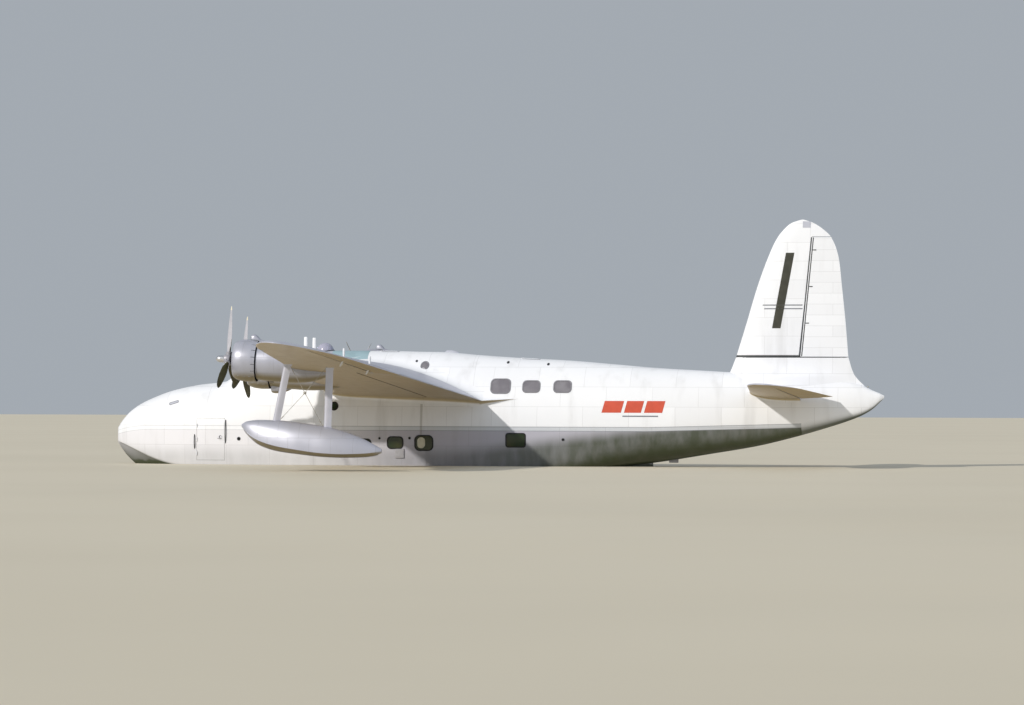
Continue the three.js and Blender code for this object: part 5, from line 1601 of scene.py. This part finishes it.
# Columns: height, length, and width of the masts' foot plates
MAST_FOOT = np.array([[3.8, 0.1, 0.065], [3.868, 0.1, 0.065], [3.885, 0.075, 0.04]])
a = around(28)
for name, station, top in (["front", 6.64, 4.33], ["rear", 6.94, 4.30]):
    z = np.array([3.70, 3.86, 4.0, top - 0.04, top - 0.012, top])[:, None]
    r = np.array([0.072, 0.070, 0.067, 0.061, 0.055, 0.040])[:, None]
    mast = at(station + r * np.cos(a), 0.5 * r * np.sin(a), z)
    z, long, wide = MAST_FOOT.T[..., None]
    foot = at(station + long * np.cos(a), wide * np.sin(a), z)
    piece(f"roof_mast_{name}_body", [tube(mast), tube(foot)], "chalked_white_enamel",
          f"roof_mast_{name}")

a, b = around(48), np.linspace(-0.12, QUARTER, 16)[:, None]
outer = DOME_RADIUS * points(np.cos(b) * np.cos(a), np.cos(b) * np.sin(a), np.sin(b))
dome = tube(np.concatenate([outer, outer[::-1] * 0.976, outer[:1]]), caps=False)
piece("observation_dome_shell", [moved(dome, np.eye(3), at(DOME_X, 0, 3.838))],
      "crazed_acrylic", "observation_dome")
a = np.linspace(0, 2 * np.pi, 60, endpoint=False)
ring = np.stack([DOME_X + 0.302 * np.cos(a), 0.302 * np.sin(a)], -1)
piece("observation_dome_ring", [rod(roof_place(ring, 0.008), 0.02, 8, closed=True)], "window_frame_paint")

# Hatches: a plate with rounded corners, a seam round it, and two low hinges. Columns: from, to, half width.
lids, seams = [], []
for x0, x1, half in ([9.35, 9.95, 0.30], [14.2, 14.8, 0.28]):
    centre = np.array([(x0 + x1) / 2, 0.0])
    outline = rounded_outline(x1 - x0, 2 * half, 0.06) + centre
    lids.append(pane(outline, centre, roof_place, 0.012, 0.03))
    seams.append(bead(outline, roof_place, 0.004, 0.010))
    for y in (-half * 0.6, half * 0.6):
        z = roof_place(np.array([x0, y]), 0)[2]
        lids.append(block((x0 - 0.04, x0 + 0.06), (y - 0.04, y + 0.04), (z - 0.02, z + 0.016), 0.006))
piece("roof_hatches", [lids, seams], ["chalked_white_enamel", "grey_enamel"])

x = np.linspace(11.49, 11.99, 16)[:, None]
share = (x - 11.49) / 0.50
half = 0.085 * np.sqrt(1 - (1.6 * share - 0.6).clip(0) ** 2) * np.clip(share * 8, 0.2, 1) ** 0.5
rise = 0.13 * np.sqrt(1 - (1.5 * share - 0.5).clip(0) ** 2) * np.clip(share * 8, 0.3, 1) ** 0.5
a = np.linspace(0, np.pi, 14)
piece("roof_vent", [tube(at(x, half * np.cos(a), 3.72 + (rise + 0.03) * np.sin(a)))], "pale_grey_enamel")

# Fittings on the keel and sides
pad = [block((10.15, 10.45), (-1.592, -1.47), (0.25, 0.56), 0.012)]
pad += [rod(at(x, [-1.585, -1.5915], z), 0.017, 6) for x in (10.19, 10.41) for z in (0.29, 0.52)]
for name, side in SIDES.items():
    node = f"beaching_fitting_{name}"
    piece(f"{node}_pad", sided(side, pad), "weathered_zinc", node)
pad = block((19.15, 19.45), (-0.07, 0.07), (0.13, 0.42), 0.012)
piece("tail_trolley_fitting_pad", [pad], "weathered_zinc", "tail_trolley_fitting")

# Flight deck


def cushion(low, high, through, channels):
    """A stuffed pad: both faces crown as the square root of (1 - u^4)(1 - v^4), the sides pull in between
    the corners, and sewn channels dip across it. through names the axis of its thickness."""
    centre, half = (low + high) / 2, (high - low) / 2
    across, along = [k for k in range(3) if k != through]
    u, v = np.meshgrid(np.linspace(-1, 1, 31), np.linspace(-1, 1, 31), indexing="ij")
    crown = 0.30 + 0.70 * np.sqrt(np.clip((1 - u**4) * (1 - v**4), 0, 1))
    crown = np.where(np.maximum(np.abs(u), np.abs(v)) > 0.999, 0.12, crown)
    for channel in channels:
        crown = crown - 0.14 * np.exp(-(((v - channel) / 0.035) ** 2)) * (1 - u**8)
    faces, parts = [], []
    for sign, full in ((1, 0.995), (-1, 0.9)):
        p = np.zeros((*u.shape, 3))
        p[..., across] = centre[across] + half[across] * u * (1 - 0.035 * (1 - v**2))
        p[..., along] = centre[along] + half[along] * v * (1 - 0.035 * (1 - u**2))
        p[..., through] = centre[through] + sign * half[through] * crown * full
        inside = centre.copy()
        inside[through] -= sign
        faces.append(rim(p))
        parts.append(sheet(p, inside))
    rims = np.stack(faces)
    return [*parts, tube(rims, False, centre), rod(rims.mean(0), 0.006, 6, closed=True)]


DECK_FLOOR = DECK["floor"] + 0.015
SEAT_SPAN = 0.48
for name, side in SIDES.items():
    y = side * SEAT_SPAN
    # Pedestal with a rail each side, and a shell of pressed sheet
    metal, belts = [], []
    for dy in (-0.075, 0.075):
        metal.append(block((5.09, 5.31), (y + dy - 0.012, y + dy + 0.012), (DECK_FLOOR - 0.01, 2.25), 0.006))
        metal.append(rod(at([5.085, 5.315], y + dy, DECK_FLOOR + 0.02), 0.014, 8))
    metal.append(block((4.965, 5.435), (y - 0.235, y + 0.235), (2.252, 2.285), 0.012))
    metal.append(block((5.455, 5.479), (y - 0.225, y + 0.225), (2.30, 2.955), 0.012))
    for dy in (-0.222, 0.222):
        metal.append(rod(at([5.10, 5.38, 5.462], y + dy, [2.275, 2.30, 2.52]), 0.009, 8))
    # Lap belt lying over the cushion, with its buckle
    a = np.linspace(0, 1, 12)
    for sign in (-1, 1):
        x, z = 5.30 + 0.02 * np.sin(3 * a), 2.30 + 0.087 * np.sin(a * QUARTER) ** 0.5
        belts.append(rod(at(x, y + sign * (0.232 - 0.20 * a), z), 0.022, 8, flat=0.12))
    buckle = block((5.275, 5.325), (y - 0.032, y + 0.032), (2.385, 2.399), 0.004)
    node = f"pilot_seat_{name}"
    piece(f"{node}_frame", [metal, belts, [buckle]],
          ["machined_steel", "cotton_webbing", "polished_aluminium"], node)
    # Columns: name, stations, half width, heights, axis of the thickness, channels
    for part, stations, half, z, through, channels in (
        ["cushion", (4.975, 5.40), 0.222, (2.282, 2.379), 2, (-0.5, 0.0, 0.5)],
        ["back", (5.385, 5.456), 0.215, (2.40, 2.945), 0, (-0.45, 0.1, 0.6)],
    ):
        parts = cushion(*at(stations, (y - half, y + half), z), through, channels)
        piece(f"{node}_{part}", parts, "worn_brown_leather", crease=50)

# The panel's parts: crackle paint, bezels and levers, dial faces and knobs, marks and pointers, red knobs
crackle = [
    block((4.402, 4.5195), (-0.815, 0.815), (2.602, 2.898), 0.02),
    block((4.442, 4.519), (-0.297, 0.297), (DECK_FLOOR - 0.01, 2.65), 0.015),
    block((4.50, 4.758), (-0.168, 0.168), (2.452, 2.636), 0.03),
]
bright, faces, marks, red = [], [], [], []


def dial(y, z, radius):
    """An instrument: a bezel, a dark face, a ring of marks and a pointer, facing aft."""
    place = at(4.5215, y, z)
    rings = np.array([1, 1, 0.95, 0.86, 0.84]) * radius
    bezel = np.stack([[0.0, 0.006, 0.008, 0.006, 0.0], rings], 1)
    face = [(0.0, 0.001), (0.002, 0.001), (0.002, radius * 0.85), (0.0, radius * 0.85)]
    for profile, group in ((bezel, bright), (face, faces)):
        group.append(moved(ring_tube(turned(profile, 24)), np.eye(3), place))
    # Columns: distance off the face, half width, ends as ratios of the radius, angle
    bars = [[0.001, 0.03, 0.66, 0.8, k / 8 * 2 * np.pi] for k in range(8)]
    for off, half, low, high, angle in [*bars, [0.002, 0.035, -0.15, 0.62, 7 * y + 3 * z]]:
        near, far = [off, -radius * half, radius * low], [off + 0.0022, radius * half, radius * high]
        box = rounded_box(near, far, 0.0008, 1)
        marks.append(moved(moved(box, turn_about("x", angle)), np.eye(3), place))


for breadths, heights, radius in (
    [(-0.68, -0.56, -0.44, -0.32, 0.32, 0.44, 0.56, 0.68), (2.815, 2.69), 0.048],
    [(-0.18, -0.06, 0.06, 0.18), (2.835, 2.745, 2.655), 0.035],
):
    for y in breadths:
        for z in heights:
            dial(y, z, radius)
# Throttle, mixture and pitch levers on the pedestal, with coloured knobs
for k, y in enumerate(np.linspace(-0.135, 0.135, 8)):
    bright.append(rod(at([4.64, 4.655, 4.68], y, [2.62, 2.68, 2.745]), 0.005, 6))
    knob = rounded_box([-0.014, -0.011, -0.012], [0.014, 0.011, 0.016], 0.009)
    (red if k % 4 == 3 else faces).append(moved(knob, np.eye(3), at(4.682, y, 2.755)))
piece("instrument_panel_face", [crackle, bright, faces, marks, red],
      ["crackle_black", "machined_steel", "black_rubber", "dial_marks", "red_enamel"],
      "instrument_panel", 35)

# Control columns with their wheels, and the rudder pedals
for name, side in SIDES.items():
    y = side * SEAT_SPAN
    column = at([4.80, 4.79, 4.76, 4.70], y, [DECK_FLOOR, 2.25, 2.50, 2.62])
    spokes = at(4.72, [y - 0.13, y, y + 0.13], [2.62, 2.625, 2.62])
    steel = [rod(column, [0.03, 0.024, 0.02, 0.02], 12), rod(spokes, 0.010, 8)]
    a = np.linspace(math.radians(-35), math.radians(215), 30)
    rubber = [rod(at(4.72 + 0.02 * np.sin(a), y + 0.14 * np.cos(a), 2.65 - 0.12 * np.sin(a)), 0.013, 10)]
    a, r = around(20), np.array([0.07, 0.062, 0.05, 0.034, 0.03])[:, None]
    z = DECK_FLOOR + np.array([-0.005, 0.02, 0.035, 0.06, 0.075])[:, None]
    rubber.append(tube(at(4.80 + r * np.cos(a), y + r * np.sin(a), z)))
    for dy in (-0.11, 0.11):
        steel.append(rod(at([4.60, 4.585], y + dy, [DECK_FLOOR, 2.16]), 0.011, 8))
        rubber.append(block((4.565, 4.60), (y + dy - 0.045, y + dy + 0.045), (2.10, 2.20), 0.012))
    piece(f"pilot_controls_{name}", [steel, rubber], ["machined_steel", "black_rubber"])

# Markings

# Plain leaning bars in the livery's red and dark olive, with thin grey stripes.
# Columns: stations from and to at the foot, heights from and to, lean, number of the material
HULL_BARS = [
    [17.06, 17.70, 1.79, 2.18, 0.10, 0],
    [17.80, 18.36, 1.79, 2.18, 0.10, 0],
    [18.46, 19.06, 1.79, 2.18, 0.10, 0],
    [17.75, 18.92, 1.655, 1.695, 0.01, 2],
]
FIN_BARS = [
    [22.60, 22.88, 4.60, 7.10, 0.45, 1],
    [22.28, 23.60, 5.350, 5.385, 0.01, 2],
    [22.33, 23.60, 5.230, 5.265, 0.01, 2],
]
# Dark bands along the fin's foot and up its hinge, and grey caps over its top joint
FIN_TRIM = [
    [21.39, 23.530, 3.645, 3.71, 0.002, 0],
    [23.498, 23.532, 3.65, 7.61, 0.375, 0],
    [23.60, 23.86, 7.93, 8.14, 0.0, 1],
]
bars, trim = [[], [], []], [[], []]
for side in SIDES.values():
    for table, place, made in (
        (HULL_BARS, side_place(side), bars),
        (FIN_BARS, fin_place(side), bars),
        (FIN_TRIM, fin_place(side), trim),
    ):
        for *bar, number in table:
            made[number].append(painted(bar, place, 0.005))
piece("paint_bars", bars, ["red_enamel", "dark_olive_enamel", "grey_enamel"])
piece("fin_trim", trim, ["window_frame_paint", "pale_grey_enamel"])

# Lamps on the wing tips, one on the tail, and the glass of a landing lamp in each leading edge
a, share = around(20), np.linspace(0, 1, 9)[:, None]
radius = 0.022 * np.sqrt(1 - (2 * share - 1) ** 2)
x, y, z = wing_point(np.float64(16.75), np.float64(0.02), True)
drop = tube(points(x - 0.02 + 0.12 * share, y + radius * np.cos(a), z - 0.01 + radius * np.sin(a)))
span = np.linspace(14.05, 14.45, 9)[:, None]
upper = wing_point(span, np.linspace(0.05, 0, 7), True)
lower = wing_point(span, np.linspace(0, 0.05, 7)[1:], False)
landing = sheet(np.concatenate([upper, lower], 1) - [0.003, 0, 0], [0.5, -14.25, 3.9])
tail_lamp = block((25.72, 25.80), (-0.03, 0.03), (2.62, 2.70), 0.028, 4)
piece("lamps", [[drop], [mirror(drop)], [tail_lamp, *both(landing)]],
      ["red_lamp_glass", "green_lamp_glass", "lamp_glass"])

# Upright grab rails beside the door and ahead of it. Columns: station, bottom, top.
rails = []
for station, bottom, top in ([3.12, 0.53, 1.01], [4.235, 0.72, 1.50]):
    for side in SIDES.values():
        z = np.linspace(bottom, top, 8)
        out = 0.045 * np.sqrt(np.sin(np.linspace(0, np.pi, 8)))
        rails.append(rod(side_place(side)(np.stack([station + 0 * z, z], 1), out), 0.016, 8))
piece("grab_rails", rails, "window_frame_paint")

# Roof paint: bare grey round the dome, and pale teal behind it. Columns: from, to, half width.
roof_paint = []
for x0, x1, half in ([6.60, 7.66, 0.9], [7.66, 8.95, 1.3]):
    x, y = np.meshgrid(np.linspace(x0, x1, 14), np.linspace(-half, half, 25), indexing="ij")
    x = x + 0.12 * (np.abs(y) / half) ** 2 * (x - x0) / (x1 - x0)
    roof_paint.append([sheet(roof_place(np.stack([x, y], -1), 0.003), [-1.5, 0, 1.0])])
piece("roof_paint", roof_paint, ["pale_grey_enamel", "walkway_paint"])

# Floor, light and camera


def staged(name, data):
    """An object of the scene around the part."""
    made = bpy.data.objects.new(name, data)
    bpy.context.scene.collection.objects.link(made)
    return made


FLOOR_REACH = 900
floor = bpy.data.meshes.new("floor")
floor_corners = [(x * FLOOR_REACH, y * FLOOR_REACH, 0) for x, y in ((-1, -1), (1, -1), (1, 1), (-1, 1))]
floor.from_pydata(floor_corners, [], [(0, 1, 2, 3)])
floor.materials.append(bpy.data.materials["pale_studio_floor"])
staged("floor", floor)

world = bpy.data.worlds.new("pale_sky")
bpy.context.scene.world = world
world.use_nodes = True
backdrop = world.node_tree.nodes["Background"]
backdrop.inputs["Color"].default_value = linear("#dfe8f2")
backdrop.inputs["Strength"].default_value = 0.5

# Columns: name, direction that the light comes from, strength, colour, width in degrees
LIGHTS = [
    ["key", (-0.513, -0.718, 0.471), 2.7, "#fff9f0", 2],
    ["fill", (0.75, -0.6, 0.3), 0.3, "#e6eefc", 60],
]
for name, direction, strength, tint, wide in LIGHTS:
    lamp = bpy.data.lights.new(name, "SUN")
    lamp.energy = strength
    lamp.color = linear(tint)[:3]
    lamp.angle = math.radians(wide)
    staged(name, lamp).rotation_euler = Vector(direction).to_track_quat("Z", "Y").to_euler()
bpy.context.scene.view_settings.view_transform = "Standard"

# The photograph was taken from the port side, a little aft of abeam, level, from about 120 m
camera_data = bpy.data.cameras.new("camera")
camera_data.lens = 125.47
camera_data.sensor_width = 36
camera_data.shift_y = -2.5 / 1024
camera_data.clip_end = 2000
camera = staged("camera", camera_data)
camera.location = (27.900, -117.553, 1.879)
# Columns of the turn: right, up, and back, rolled by the aircraft's list of one degree
ahead = Vector((-0.19766, 0.98013, 0.016715)).normalized()
right = ahead.cross(Vector((0, -0.01705, 0.99985))).normalized()
camera.rotation_euler = Matrix((right, right.cross(ahead), -ahead)).transposed().to_euler()
bpy.context.scene.camera = camera
